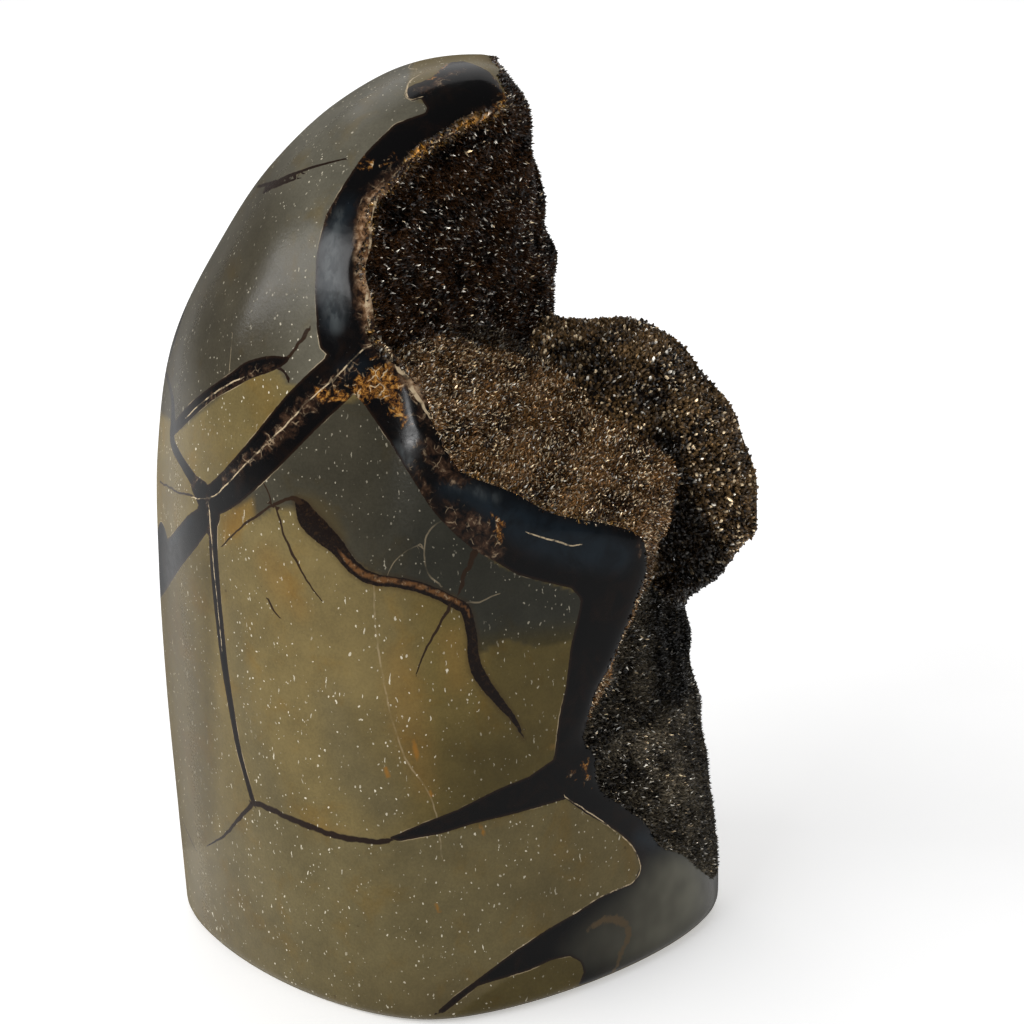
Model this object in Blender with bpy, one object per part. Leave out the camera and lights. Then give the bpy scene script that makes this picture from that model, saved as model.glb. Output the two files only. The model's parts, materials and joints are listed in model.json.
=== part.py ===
"""A septarian nodule, ground and polished to a standing freeform with one side left open.

Two solids stand together: the nodule, which is mudstone and calcite in one piece, and the crust of
crystals that lines its open side. Lengths are in millimetres here and become metres in the meshes.
X runs to the right, Y away from the viewer and Z up. The origin lies on the flat ground base.
"""

import math
import random

import bmesh
import bpy
import numpy as np
from mathutils import Vector

MM = 0.001

# The ground form, ring by ring: its height, how far it reaches each way, then where its front
# ridge stands across and where its two side corners stand in depth.
GROUND_STATIONS = np.array([
    # height  left  right  front  back  ridge  waist
    [0.0, -53.0, 52.0, -46.5, 41.0, -4.0, 1.0],
    [22.0, -54.0, 53.5, -47.0, 43.0, -7.0, 2.0],
    [45.0, -55.2, 56.0, -46.0, 43.5, -10.0, 4.0],
    [68.0, -55.5, 60.0, -44.0, 42.5, -12.0, 5.0],
    [90.0, -54.5, 59.5, -41.0, 40.5, -13.0, 5.0],
    [110.0, -50.5, 52.0, -36.5, 38.0, -12.0, 4.0],
    [127.0, -41.5, 41.0, -31.0, 34.0, -10.0, 4.0],
    [141.0, -31.5, 31.0, -24.5, 28.0, -7.0, 3.0],
    [151.0, -20.5, 24.0, -17.0, 20.5, -3.0, 3.0],
    [157.0, -10.0, 17.0, -9.0, 13.0, 2.0, 3.0],
    [159.5, 4.0, 4.0, 3.0, 3.0, 4.0, 3.0],
])
CORNER_POWER_LOW = 1.5      # how sharp the four upright corners are: 1 is a diamond, 2 an ellipse
CORNER_POWER_TOP = 2.0
CORNER_SOFTNESS = 0.12      # rounds the ridge lines
BASE_EDGE_RADIUS = 3.0      # the worn edge round the flat base

# The septarian blocks that bound the open side. Each face has the azimuth and elevation that it
# looks towards (azimuth 0 is the front, 90 the right), then a point that it passes through.
SHELF_SIDE = (81, -22, (34.4, -21.7, 76.4))
SHELF_BACK = (181, 30, (25.0, 9.5, 101.8))
BLOCKS = {
    "upper": [(61, 11, (-12.1, -29.2, 124.1)), (97, -4, (20.5, 12.2, 110.0))],
    "hood": [(42, -27, (3.3, -15.4, 148.3)), (108, 3, (16.8, 11.8, 110.0)),
             (85, 31, (11.8, -0.3, 153.6))],
    "head": [(61, 37, (-12.1, -32.4, 115.4)), SHELF_SIDE, SHELF_BACK],
    "shelf": [(47, 53, (9.9, -33.0, 90.9)), SHELF_SIDE, SHELF_BACK],
    "lower": [(50, 14, (34.0, -23.0, 29.6)), (79, 13, (46.2, -12.3, 14.4)),
              (112, 53, (39.3, 16.1, 68.5))],
    "lobe": [(64, 44, (47.1, 8.4, 97.0))],
}
LOBE_CENTRE = (26.8, 16.5, 81.8)     # the block at the back is a rounded lobe
LOBE_RADII = (32.4, 22.0, 29.4)
BLOCK_EDGE_SOFTNESS = 3.0            # rounding where two faces of a block meet
CREVICE_SOFTNESS = 1.5               # fillet where two blocks meet
LUMP_HEIGHT = 0.45                   # gentle lumps all over the open side
LUMP_LENGTHS = (8.0, 22.0)
LUMP_WAVES = 10

OPENING_FACES = (78.0, 30.0)         # azimuth and elevation that the open side looks towards
OPENING_CENTRE = (15.0, 0.0, 80.0)
OPENING_HALF_WIDTH = 52.0
OPENING_HALF_HEIGHT = 84.0
STEEPEST_WALL = 2.6                  # rise over run

SEAT_DEPTH = 2.6                     # the stone lies this far under the crystal tips
SEAT_GAP = 0.3                       # between the crust and the stone that carries it
CRYSTAL_FOOT = 1.2                   # the crystals start this far under their tips
CRYSTAL_SPACING = 3.5
CRYSTAL_HEIGHTS = (0.8, 2.1)
CRYSTAL_LEAN = 0.9
SPACING_JITTER = 0.32
EDGE_CLEARANCE = 0.25                # the crust ends this far inside the polished surface
FLOOR_CLEARANCE = 0.8

RINGS_UP = 25
CORNERS_PER_RING = 42
SEED = 7

MUDSTONE = (0.17, 0.145, 0.095, 1.0)
DARK_CALCITE = (0.035, 0.024, 0.016, 1.0)


def direction(azimuth, elevation):
    """The unit vector that looks towards an azimuth and an elevation, both in degrees."""
    turn, lift = math.radians(azimuth), math.radians(elevation)
    flat = math.cos(lift)
    return np.array([math.sin(turn) * flat, -math.cos(turn) * flat, math.sin(lift)])


def station_knots():
    """A running length up the form's outline, one value for each station."""
    half_width = (GROUND_STATIONS[:, 2] - GROUND_STATIONS[:, 1]) / 2
    steps = np.hypot(np.diff(GROUND_STATIONS[:, 0]), np.diff(half_width))
    return np.concatenate([[0.0], np.cumsum(steps)])


def row_at(share):
    """The station row at each share of the way up, on a smooth curve through all the rows.

    Every column is a cubic Hermite curve. The row past the apex is the one before it with its sides
    exchanged, so that the top closes as a dome.
    """
    rows = GROUND_STATIONS
    knots = station_knots()
    first, last = knots[1] - knots[0], knots[-1] - knots[-2]
    below = 2 * rows[0] - rows[1]
    over = rows[-2][[0, 2, 1, 4, 3, 5, 6]]
    padded = np.vstack([below, rows, over])
    gaps = np.diff(np.concatenate([[-first], knots, [knots[-1] + last]]))[:, None]
    slopes = np.diff(padded, axis=0) / gaps
    tangents = (slopes[:-1] * gaps[1:] + slopes[1:] * gaps[:-1]) / (gaps[:-1] + gaps[1:])
    where = np.asarray(share) * knots[-1]
    i = np.clip(np.searchsorted(knots, where, side="right") - 1, 0, len(rows) - 2)
    span = (knots[i + 1] - knots[i])[..., None]
    s = (where - knots[i])[..., None] / span
    return (
        (2 * s**3 - 3 * s**2 + 1) * rows[i]
        + (s**3 - 2 * s**2 + s) * span * tangents[i]
        + (3 * s**2 - 2 * s**3) * rows[i + 1]
        + (s**3 - s**2) * span * tangents[i + 1]
    )


def section_reach(azimuth, row):
    """How far a section reaches from its axis: a superellipse with its own reach each way."""
    across, deep = np.cos(azimuth), np.sin(azimuth)
    left, right = row[..., 5] - row[..., 1], row[..., 2] - row[..., 5]
    front, back = row[..., 6] - row[..., 3], row[..., 4] - row[..., 6]
    reach_across = left + (right - left) * (1 + across) / 2
    reach_deep = front + (back - front) * (1 + deep) / 2
    u = np.sqrt(across**2 + CORNER_SOFTNESS**2) / np.maximum(reach_across, 1e-6)
    v = np.sqrt(deep**2 + CORNER_SOFTNESS**2) / np.maximum(reach_deep, 1e-6)
    rise = np.clip(row[..., 0] / GROUND_STATIONS[-1, 0], 0, 1) ** 3
    power = CORNER_POWER_LOW + (CORNER_POWER_TOP - CORNER_POWER_LOW) * rise
    return (u**power + v**power) ** (-1 / power)


def base_inset(height):
    """How far the worn edge of the base draws a section in."""
    below = np.clip(BASE_EDGE_RADIUS - height, 0, BASE_EDGE_RADIUS)
    return BASE_EDGE_RADIUS - np.sqrt(BASE_EDGE_RADIUS**2 - below**2)


def ground_form(azimuth, share, inset=0.0):
    """A point of the ground surface, from its azimuth about the axis and its share of the way up."""
    row = row_at(share)
    reach = np.maximum(section_reach(azimuth, row) - base_inset(row[..., 0]) - inset, 0)
    return np.stack([
        row[..., 5] + reach * np.cos(azimuth),
        row[..., 6] + reach * np.sin(azimuth),
        row[..., 0] + 0 * reach,
    ], axis=-1)


def soft_max(values, softness):
    """The largest of several measures, rounded where two of them meet."""
    return softness * np.logaddexp.reduce(np.stack(values) / softness, axis=0)


def lumps(points):
    """Gentle lumps: waves of several lengths that run in scattered directions."""
    chance = random.Random(SEED)
    total = np.zeros(points.shape[:-1])
    for _ in range(LUMP_WAVES):
        along = direction(chance.uniform(0, 360), chance.uniform(-80, 80))
        length = chance.uniform(*LUMP_LENGTHS)
        total += np.sin(points @ along * (2 * math.pi / length) + chance.uniform(0, 2 * math.pi))
    return LUMP_HEIGHT * total / math.sqrt(LUMP_WAVES / 2)


def outside_blocks(points):
    """How far points lie outside the blocks that bound the open side."""
    blocks = []
    for name, faces in BLOCKS.items():
        measures = [(points - np.array(through)) @ direction(azimuth, elevation)
                    for azimuth, elevation, through in faces]
        if name == "lobe":
            offset = (points - np.array(LOBE_CENTRE)) / np.array(LOBE_RADII)
            measures.append((np.linalg.norm(offset, axis=-1) - 1) * min(LOBE_RADII))
        blocks.append(soft_max(measures, BLOCK_EDGE_SOFTNESS))
    return -soft_max([-block for block in blocks], CREVICE_SOFTNESS) - lumps(points)


# --- meshes ---


def opening_grid():
    """Jittered places over the opening, as two arrays: across it and up it."""
    chance = random.Random(SEED)
    columns = round(2 * OPENING_HALF_WIDTH / CRYSTAL_SPACING)
    rows = round(2 * OPENING_HALF_HEIGHT / CRYSTAL_SPACING)
    across = np.linspace(-OPENING_HALF_WIDTH, OPENING_HALF_WIDTH, columns + 1)
    up = np.linspace(-OPENING_HALF_HEIGHT, OPENING_HALF_HEIGHT, rows + 1)
    up_grid, across_grid = np.meshgrid(up, across, indexing="ij")
    shift = np.array([chance.uniform(-1, 1) for _ in range(2 * across_grid.size)])
    shift = shift.reshape(2, *across_grid.shape) * SPACING_JITTER * CRYSTAL_SPACING
    return across_grid + shift[0], up_grid + shift[1]


def opening_surface(across, up, depth):
    """The first place, looking in at the opening, that lies this deep under the crystal tips."""
    out = direction(*OPENING_FACES)
    right = direction(OPENING_FACES[0] + 90, 0)
    top = np.cross(out, right)
    start = np.array(OPENING_CENTRE) + across[..., None] * right + up[..., None] * top
    reach = np.linspace(90, -90, 601)
    points = start[..., None, :] + reach[:, None] * out
    inside = outside_blocks(points) + depth
    first = np.argmax(inside < 0, axis=-1)
    near = np.take_along_axis(inside, first[..., None] - 1, -1)[..., 0]
    past = np.take_along_axis(inside, first[..., None], -1)[..., 0]
    height = reach[first - 1] + (reach[first] - reach[first - 1]) * near / (near - past)
    for _ in range(12):
        height = ease_walls(across, up, height)
    return start + height[..., None] * out


def ease_walls(across, up, height):
    """Raise the foot of any wall that is steeper than the steepest allowed."""
    eased = height.copy()
    for down in (-1, 0, 1):
        for side in (-1, 0, 1):
            near = [np.roll(grid, (down, side), (0, 1)) for grid in (across, up, height)]
            run = np.hypot(near[0] - across, near[1] - up)
            eased = np.maximum(eased, near[2] - STEEPEST_WALL * run)
    return eased


def mesh_object(name, vertices, faces, collection):
    """A new object from vertices in millimetres."""
    mesh = bpy.data.meshes.new(name)
    mesh.from_pydata([Vector(vertex) * MM for vertex in vertices], [], faces)
    obj = bpy.data.objects.new(name, mesh)
    collection.objects.link(obj)
    return obj


def ground_solid(name, collection, inset, floor):
    """The ground form as a closed loft of rings from the base to the apex."""
    knots = station_knots()
    low = [floor, floor + 0.9, BASE_EDGE_RADIUS]
    shares = np.interp(low, GROUND_STATIONS[:, 0], knots / knots[-1])
    rise = np.linspace(0, 1, RINGS_UP + 1)[1:-1]
    shares = np.concatenate([shares, shares[-1] + (1 - shares[-1]) * rise])
    turn = np.linspace(0, 2 * math.pi, CORNERS_PER_RING + 1)[:-1]
    rings = ground_form(turn[None, :], shares[:, None], inset)
    rings[0, :, 2] = floor
    apex = ground_form(np.array(0.0), np.array(1.0))
    apex[2] -= inset
    vertices = list(rings.reshape(-1, 3)) + [apex]
    count = CORNERS_PER_RING
    faces = [list(range(count))[::-1]]
    for ring in range(len(shares) - 1):
        for i in range(count):
            j = (i + 1) % count
            at = ring * count
            faces.append([at + i, at + j, at + count + j, at + count + i])
    last = (len(shares) - 1) * count
    faces += [[last + i, last + (i + 1) % count, len(vertices) - 1] for i in range(count)]
    return mesh_object(name, vertices, faces, collection)


def slab_between(name, lower, upper, collection):
    """The closed slab between two grids of points that have the same rows and columns."""
    rows, columns = lower.shape[:2]
    size = rows * columns
    lower_faces, upper_faces = [], []
    for r in range(rows - 1):
        for c in range(columns - 1):
            i = r * columns + c
            lower_faces += [[i, i + columns, i + columns + 1], [i, i + columns + 1, i + 1]]
            j = i + size
            upper_faces.append([j, j + 1, j + columns + 1, j + columns])
    border = [c for c in range(columns)]
    border += [r * columns + columns - 1 for r in range(1, rows)]
    border += [(rows - 1) * columns + c for c in range(columns - 2, -1, -1)]
    border += [r * columns for r in range(rows - 2, 0, -1)]
    walls = []
    for k, i in enumerate(border):
        j = border[(k + 1) % len(border)]
        walls.append([i, j, j + size, i + size])
    vertices = list(lower.reshape(-1, 3)) + list(upper.reshape(-1, 3))
    obj = mesh_object(name, vertices, lower_faces + walls + upper_faces, collection)
    return obj, range(len(lower_faces) + len(walls), len(obj.data.polygons))


def raise_crystals(obj, bases):
    """Raise a four-sided pyramid with flat faces on every base face."""
    chance = random.Random(SEED)
    shape = bmesh.new()
    shape.from_mesh(obj.data)
    shape.faces.ensure_lookup_table()
    faces = [shape.faces[i] for i in bases]
    normals = [face.normal.copy() for face in faces]
    tips = bmesh.ops.poke(shape, faces=faces)["verts"]
    for tip, normal in zip(tips, normals):
        lean = Vector([chance.uniform(-1, 1) for _ in range(3)]) * CRYSTAL_LEAN
        tip.co += (normal * chance.uniform(*CRYSTAL_HEIGHTS) + lean) * MM
    bmesh.ops.recalc_face_normals(shape, faces=shape.faces)
    shape.to_mesh(obj.data)
    shape.free()


def face_outwards(obj):
    """Turn every face of a closed mesh outwards and split it into triangles."""
    shape = bmesh.new()
    shape.from_mesh(obj.data)
    bmesh.ops.triangulate(shape, faces=[face for face in shape.faces if len(face.verts) == 4])
    bmesh.ops.recalc_face_normals(shape, faces=shape.faces)
    shape.to_mesh(obj.data)
    shape.free()


def boolean(obj, cutter, operation):
    """Add an exact Boolean modifier."""
    modifier = obj.modifiers.new(operation.title(), "BOOLEAN")
    modifier.object = cutter
    modifier.operation = operation
    modifier.solver = "EXACT"


def finish_of(name, colour, roughness):
    """A plain material with its own colour and roughness."""
    material = bpy.data.materials.new(name)
    material.use_nodes = True
    shader = material.node_tree.nodes["Principled BSDF"]
    shader.inputs["Base Color"].default_value = colour
    shader.inputs["Roughness"].default_value = roughness
    shader.inputs["Metallic"].default_value = 0.0
    return material


def build():
    """Build the nodule and its crust."""
    for obj in list(bpy.data.objects):
        bpy.data.objects.remove(obj, do_unlink=True)
    parts = bpy.data.collections.new("septarian_nodule")
    cutters = bpy.data.collections.new("cutters")
    for collection in (parts, cutters):
        bpy.context.scene.collection.children.link(collection)

    across, up = opening_grid()
    seat = opening_surface(across, up, SEAT_DEPTH)
    under = opening_surface(across, up, SEAT_DEPTH - SEAT_GAP)
    feet = opening_surface(across, up, CRYSTAL_FOOT)
    beyond = seat + (110 - (seat - np.array(OPENING_CENTRE)) @ direction(*OPENING_FACES))[
        ..., None] * direction(*OPENING_FACES)

    nodule = ground_solid("nodule", parts, 0.0, 0.0)
    nodule.data.materials.append(finish_of("polished mudstone", MUDSTONE, 0.15))
    opening, _ = slab_between("opening", seat, beyond, cutters)
    boolean(nodule, opening, "DIFFERENCE")

    crust, bases = slab_between("crystal_crust", under, feet, parts)
    crust.data.materials.append(finish_of("dark calcite druse", DARK_CALCITE, 0.3))
    raise_crystals(crust, bases)
    limit = ground_solid("crust_limit", cutters, EDGE_CLEARANCE, FLOOR_CLEARANCE)
    boolean(crust, limit, "INTERSECT")

    for obj in (nodule, opening, limit, crust):
        face_outwards(obj)
    for cutter in (opening, limit):
        cutter.hide_render = True
        cutter.display_type = "WIRE"


build()
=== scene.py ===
"""The looks of a septarian nodule, ground and polished, with one side left open and lined with crystals.

Shapes are worked out in millimetres and put into the meshes in metres. X runs to the right, Y away
from the viewer and Z up from the ground base.
"""

import json
import math
import random

import bpy
import numpy as np
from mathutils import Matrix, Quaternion, Vector

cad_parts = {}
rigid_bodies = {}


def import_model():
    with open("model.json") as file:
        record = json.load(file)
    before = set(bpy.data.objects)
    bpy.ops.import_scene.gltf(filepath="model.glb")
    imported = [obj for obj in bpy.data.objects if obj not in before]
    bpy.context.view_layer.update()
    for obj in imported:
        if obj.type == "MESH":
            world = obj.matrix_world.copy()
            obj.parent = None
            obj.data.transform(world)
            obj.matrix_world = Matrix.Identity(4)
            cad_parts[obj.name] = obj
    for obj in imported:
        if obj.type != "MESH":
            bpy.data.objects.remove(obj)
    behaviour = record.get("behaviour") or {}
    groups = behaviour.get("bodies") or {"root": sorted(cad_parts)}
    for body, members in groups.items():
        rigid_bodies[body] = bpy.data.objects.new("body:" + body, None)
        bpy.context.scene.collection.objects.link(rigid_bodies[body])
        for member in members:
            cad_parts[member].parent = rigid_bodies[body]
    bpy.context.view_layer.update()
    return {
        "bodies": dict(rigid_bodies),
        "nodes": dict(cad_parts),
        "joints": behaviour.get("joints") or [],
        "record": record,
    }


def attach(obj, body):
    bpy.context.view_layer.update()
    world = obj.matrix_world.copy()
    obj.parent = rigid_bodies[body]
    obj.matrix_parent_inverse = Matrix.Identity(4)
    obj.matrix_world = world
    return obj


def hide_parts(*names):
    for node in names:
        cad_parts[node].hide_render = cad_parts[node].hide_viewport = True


MM = 0.001

# The ground form, ring by ring: its height, how far it reaches each way, then where its front
# ridge stands across and where its two side corners stand in depth.
GROUND_STATIONS = np.array([
    # height  left  right  front  back  ridge  waist
    [0.0, -53.0, 52.0, -46.5, 41.0, -4.0, 1.0],
    [22.0, -54.0, 53.5, -47.0, 43.0, -7.0, 2.0],
    [45.0, -55.2, 56.0, -46.0, 43.5, -10.0, 4.0],
    [68.0, -55.5, 60.0, -44.0, 42.5, -12.0, 5.0],
    [90.0, -54.5, 59.5, -41.0, 40.5, -13.0, 5.0],
    [110.0, -50.5, 52.0, -36.5, 38.0, -12.0, 4.0],
    [127.0, -41.5, 41.0, -31.0, 34.0, -10.0, 4.0],
    [141.0, -31.5, 31.0, -24.5, 28.0, -7.0, 3.0],
    [151.0, -20.5, 24.0, -17.0, 20.5, -3.0, 3.0],
    [157.0, -10.0, 17.0, -9.0, 13.0, 2.0, 3.0],
    [159.5, 4.0, 4.0, 3.0, 3.0, 4.0, 3.0],
])
CORNER_POWER_LOW = 1.5
CORNER_POWER_TOP = 2.0
CORNER_SOFTNESS = 0.12
BASE_EDGE_RADIUS = 3.0

# The blocks that bound the open side: each face looks towards an azimuth and an elevation and
# passes through a point.
SHELF_SIDE = (81, -22, (34.4, -21.7, 76.4))
SHELF_BACK = (181, 30, (25.0, 9.5, 101.8))
BLOCKS = {
    "upper": [(61, 11, (-12.1, -29.2, 124.1)), (97, -4, (20.5, 12.2, 110.0))],
    "hood": [(42, -27, (3.3, -15.4, 148.3)), (108, 3, (16.8, 11.8, 110.0)),
             (85, 31, (11.8, -0.3, 153.6))],
    "head": [(61, 37, (-12.1, -32.4, 115.4)), SHELF_SIDE, SHELF_BACK],
    "shelf": [(47, 53, (9.9, -33.0, 90.9)), SHELF_SIDE, SHELF_BACK],
    "lower": [(50, 14, (34.0, -23.0, 29.6)), (79, 13, (46.2, -12.3, 14.4)),
              (112, 53, (39.3, 16.1, 68.5))],
    "lobe": [(64, 44, (47.1, 8.4, 97.0))],
}
LOBE_CENTRE = (26.8, 16.5, 81.8)
LOBE_RADII = (32.4, 22.0, 29.4)
BLOCK_EDGE_SOFTNESS = 3.0
CREVICE_SOFTNESS = 1.5
LUMP_HEIGHT = 0.45
LUMP_LENGTHS = (8.0, 22.0)
LUMP_WAVES = 10
LUMPY_ABOVE = (8.0, 55.0)            # the lumps grow to their full height between these heights
SEED = 7

BLOCKS_HEART = (15.0, 14.0, 80.0)    # every block can be seen from here
RIM_ROLL = 2.6                       # the polish rolls over the rim in this width, and drops by
RIM_DROP = 0.9                       # about two thirds of this much
TURN_TO_HEART = (0.5, 9.0)           # grid points this far outside the blocks turn towards the heart
DRUSE_FLOOR = 0.9                    # the crystals stand this far under the blocks' own surface
CRYSTAL_ROOT = 0.35                  # a crystal's foot stands this deep under its place
CRYSTAL_LEAST = 0.45                 # and it is never shorter than this
DRUSE_LIMITS = ((-55.3, -47.0, 0.3), (55.6, 43.4, 159.8))
STONE_COLUMNS = 400
STONE_ROWS = 238
COLUMN_CROWDING = 0.3                # columns stand this share closer on the open side
OPEN_SIDE_AZIMUTH = -60.0
BASE_RINGS = (0.85, 0.6, 0.3)
SHARP_ANGLE = 38.0
DRAW_STEPS = 50                      # drawing in: steps towards the blocks, the share of what is left
DRAW_SHARE = 0.85                    # that each goes, and the last steps down the slope
SLOPE_STEPS = 6
NO_POLISH_NEAR = 3.0                 # stands for the distance to the polish where none is beside
OUTLINE_FADING = 30.0                # markings typed on the sheet die out this fast behind the outline

EYE_TARGET = (10.4, 0.0, 78.5)
EYE_DISTANCE = 430.0
EYE_ELEVATION = 18.0
SHEET_CENTRE = 512.0                 # the markings are drawn on a sheet of 1024 units that faces the eye
SHEET_UNIT = 0.18                    # its unit in millimetres, at the target's distance
LIFT_START = 110                     # lifting from the sheet starts this far before the target,
LIFT_STEPS = 160                     # takes this many steps in and ends this near the ground form
LIFT_NEAR = 0.02
SHEET_LINE_STEPS = 3                 # pieces that a line is smoothed into between its corners
HIDDEN_LINE_STEPS = 5
FAR_AWAY = 1e3
LEAST_VEIN = 0.05                    # least widths of hidden veins, hidden fine lines and fine lines
LEAST_HIDDEN_FINE = 0.1
LEAST_FINE = 0.12
OFF_LINE = 9.0                       # what a point holds where no fine line is near
LINE_MARGIN = 5                      # a fine line is looked for this far about it
FORM_MIDDLE = (0.0, 0.0, 80.0)

# --- the markings, as (across, down) on the sheet, with a width where a line has one ---

# Dark calcite that fills whole areas.
CALCITE_AREAS = {
    "upper_rim": [(425, 113), (410, 118), (395, 124), (378, 140), (362, 157), (349, 176), (338, 194),
                  (326, 215), (319, 242), (316, 259), (315, 294), (317, 330), (320, 348), (345, 372),
                  (378, 352), (420, 330), (480, 240), (530, 150), (512, 92), (480, 90), (450, 98)],
    "top_patch": [(421, 99), (412, 101), (406, 97), (405, 91), (410, 86), (421, 82), (431, 78),
                  (437, 73), (443, 66), (452, 62), (463, 61), (476, 65), (489, 71), (498, 80),
                  (504, 92), (506, 108), (490, 120), (470, 126), (445, 124), (425, 114), (427, 108)],
    "shelf_rim": [(364, 404), (389, 441), (416, 485), (430, 507), (440, 519), (457, 536), (474, 550),
                  (496, 562), (518, 575), (544, 582), (571, 588), (581, 599), (578, 616), (571, 645),
                  (566, 686), (559, 718), (554, 759), (530, 776), (496, 790), (457, 810), (421, 824),
                  (384, 840), (401, 841), (440, 834), (476, 823), (510, 815), (539, 807), (566, 799),
                  (585, 813), (617, 831), (632, 844), (641, 866), (634, 882), (604, 895), (574, 914),
                  (548, 929), (515, 951), (486, 973), (456, 995), (432, 1016), (445, 1012), (478, 986),
                  (530, 970), (552, 960), (570, 956), (581, 962), (584, 972), (578, 986), (590, 990),
                  (680, 950), (725, 900), (740, 800), (720, 640), (670, 560), (640, 500), (560, 480),
                  (480, 420), (410, 340), (385, 335), (352, 368), (350, 390)],
    "left_wedge": [(214, 506), (200, 507), (188, 515), (170, 537), (150, 556), (150, 612), (165, 592),
                   (180, 568), (195, 549), (209, 530)],
}

# Dark calcite that fills cracks.
CALCITE_VEINS = {
    "broad_band": [(348, 368, 42), (305, 408, 43), (268, 449, 40), (232, 486, 36), (210, 502, 30)],
    "band_corner": [(196, 486, 20), (206, 500, 30), (213, 515, 22)],
    "crescent": [(288, 358, 3), (283, 361, 8), (269, 364, 15), (249, 370, 17), (233, 380, 15),
                 (215, 391, 13), (197, 405, 14), (182, 420, 14), (172, 432, 10)],
    "left_edge": [(164, 368, 4), (168, 380, 6), (172, 397, 9), (173, 416, 14), (172, 441, 13),
                  (182, 462, 12), (192, 478, 14), (200, 492, 18)],
    "long_upright": [(213, 507, 16), (213, 543, 14), (216, 587, 14), (220, 627, 13), (225, 669, 11),
                     (233, 719, 9), (239, 751, 8), (246, 777, 7), (253, 802, 7)],
}

# Dark and brown calcite in cracks finer than the stone's grid.
FINE_DARK = {
    "small_upper": [(258, 186, 3), (269, 184, 6), (287, 177, 5), (316, 166, 3), (345, 159, 2)],
    "small_upper_low": [(266, 190, 7), (280, 184, 5), (300, 178, 1)],
    "lower_left": [(253, 803, 5), (237, 821, 4), (225, 835, 3), (207, 846, 1)],
    "band_twig": [(288, 379, 3), (284, 372, 2), (279, 368, 3)],
    "lower_level": [(253, 802, 6), (269, 808, 6), (295, 821, 6), (328, 833, 6), (357, 840, 6),
                    (388, 841, 6)],
}
FINE_BROWN = {
    "twig_from_band": [(308, 330, 4), (300, 342, 4), (294, 350, 3), (287, 358, 4)],
    "short_upper": [(476, 551, 6), (466, 573, 4.5), (459, 591, 4)],
    "short_lower": [(450, 606, 3.5), (438, 627, 2.6), (426, 649, 2), (416, 674, 1)],
    "hair_left": [(277, 510, 2.5), (287, 543, 2.4), (302, 573, 2), (322, 601, 1)],
    "upper_thin": [(182, 820, 1), (190, 838, 2), (197, 852, 1)],
    "left_thread": [(160, 482, 2), (170, 488, 2.2), (180, 493, 2.2), (192, 495, 2.4)],
    "panel_thread": [(268, 600, 2), (273, 609, 2), (279, 617, 1.4)],
    "great_start": [(222, 546, 1.5), (240, 528, 2), (259, 514, 2.6), (274, 504, 3), (290, 499, 3.6),
                    (299, 501, 5)],
    "grey_thread": [(262, 480, 1), (268, 492, 1.6), (272, 503, 1.6)],
}

# Brown calcite, softer edged than the dark.
BROWN_VEINS = {
    "great_brown": [(296, 500, 4), (302, 507, 14), (309, 520, 21), (322, 533, 20), (337, 547, 15),
                    (346, 559, 13),
                    (359, 572, 12), (376, 580, 11), (393, 582, 10), (415, 586, 10), (437, 594, 10),
                    (455, 603, 10), (465, 609, 10), (469, 621, 10), (472, 636, 10), (473, 653, 11),
                    (477, 670, 12), (487, 686, 11), (502, 705, 8), (515, 721, 5), (524, 739, 1)],
}

# The dim halo at the great brown vein's wide end, its paler heart, and small orange stains.
VEIN_HALO = [(300, 500, 6), (318, 508, 12), (332, 522, 8), (342, 538, 3)]
BROWN_HEARTS = {
    "great_heart": [(334, 545, 1), (346, 559, 4), (360, 572, 6), (377, 579, 6), (394, 581, 5),
                    (415, 585, 5), (437, 593, 5), (455, 601, 5), (467, 609, 3), (471, 622, 1)],
}
STAINS = {
    "drop": [(413, 740, 2), (415, 748, 4), (418, 760, 2)],
    "spot": [(386, 769, 4), (388, 776, 4)],
    "speck": [(430, 792, 3), (432, 796, 3)],
    "foot": [(436, 905, 3), (440, 912, 3)],
    "corner": [(480, 826, 3), (484, 834, 3)],
}

# Pale seams and hairlines.
CREAM_LINES = {
    "band_seam": [(369, 346, 1.4), (358, 354, 1.2), (345, 368, 1.2), (330, 382, 1.3), (310, 399, 1.2),
                  (294, 416, 1.3), (278, 433, 1.4), (261, 449, 1.4), (240, 470, 1.2), (224, 487, 1.2),
                  (214, 496, 1.1), (200, 499, 1), (192, 497, 0.8)],
    "upright_seam": [(208, 500, 1.4), (210, 520, 1.6), (213, 560, 1.2), (217, 600, 1), (222, 650, 1)],
    "upper_seam": [(242, 378, 1.2), (230, 383, 1.4), (215, 393, 1.4), (200, 404, 1.2), (186, 418, 1)],
    "right_edge": [(565, 797, 1), (593, 815, 1), (615, 831, 1), (632, 846, 1.2),
                   (641, 867, 1.2), (632, 883, 1.2), (604, 895, 1), (574, 914, 1)],
    "top_loop": [(421, 74, 1.5), (411, 80, 1.5), (406, 92, 1.5), (410, 99, 1.5), (420, 97, 1.5)],
    "top_loop_small": [(412, 62, 1.2), (409, 68, 1.2), (416, 69, 1.2)],
    "scratch": [(528, 533, 1), (540, 537, 1.4), (556, 541, 1.6), (568, 545, 1.4), (580, 545, 1)],
    # The shelf's rim seam is widened and brightened as a painted highlight along the rim.
    "shelf_rim": [(387, 350, 2.4), (397, 364, 3.6), (408, 381, 4.0), (419, 399, 3.6), (430, 416, 2.4)],
    "upper_rim": [(377, 196, 2), (371, 220, 2.6), (369, 250, 2.4), (367, 280, 2.6), (367, 310, 2.2),
                  (371, 336, 1.6)],
}
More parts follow.
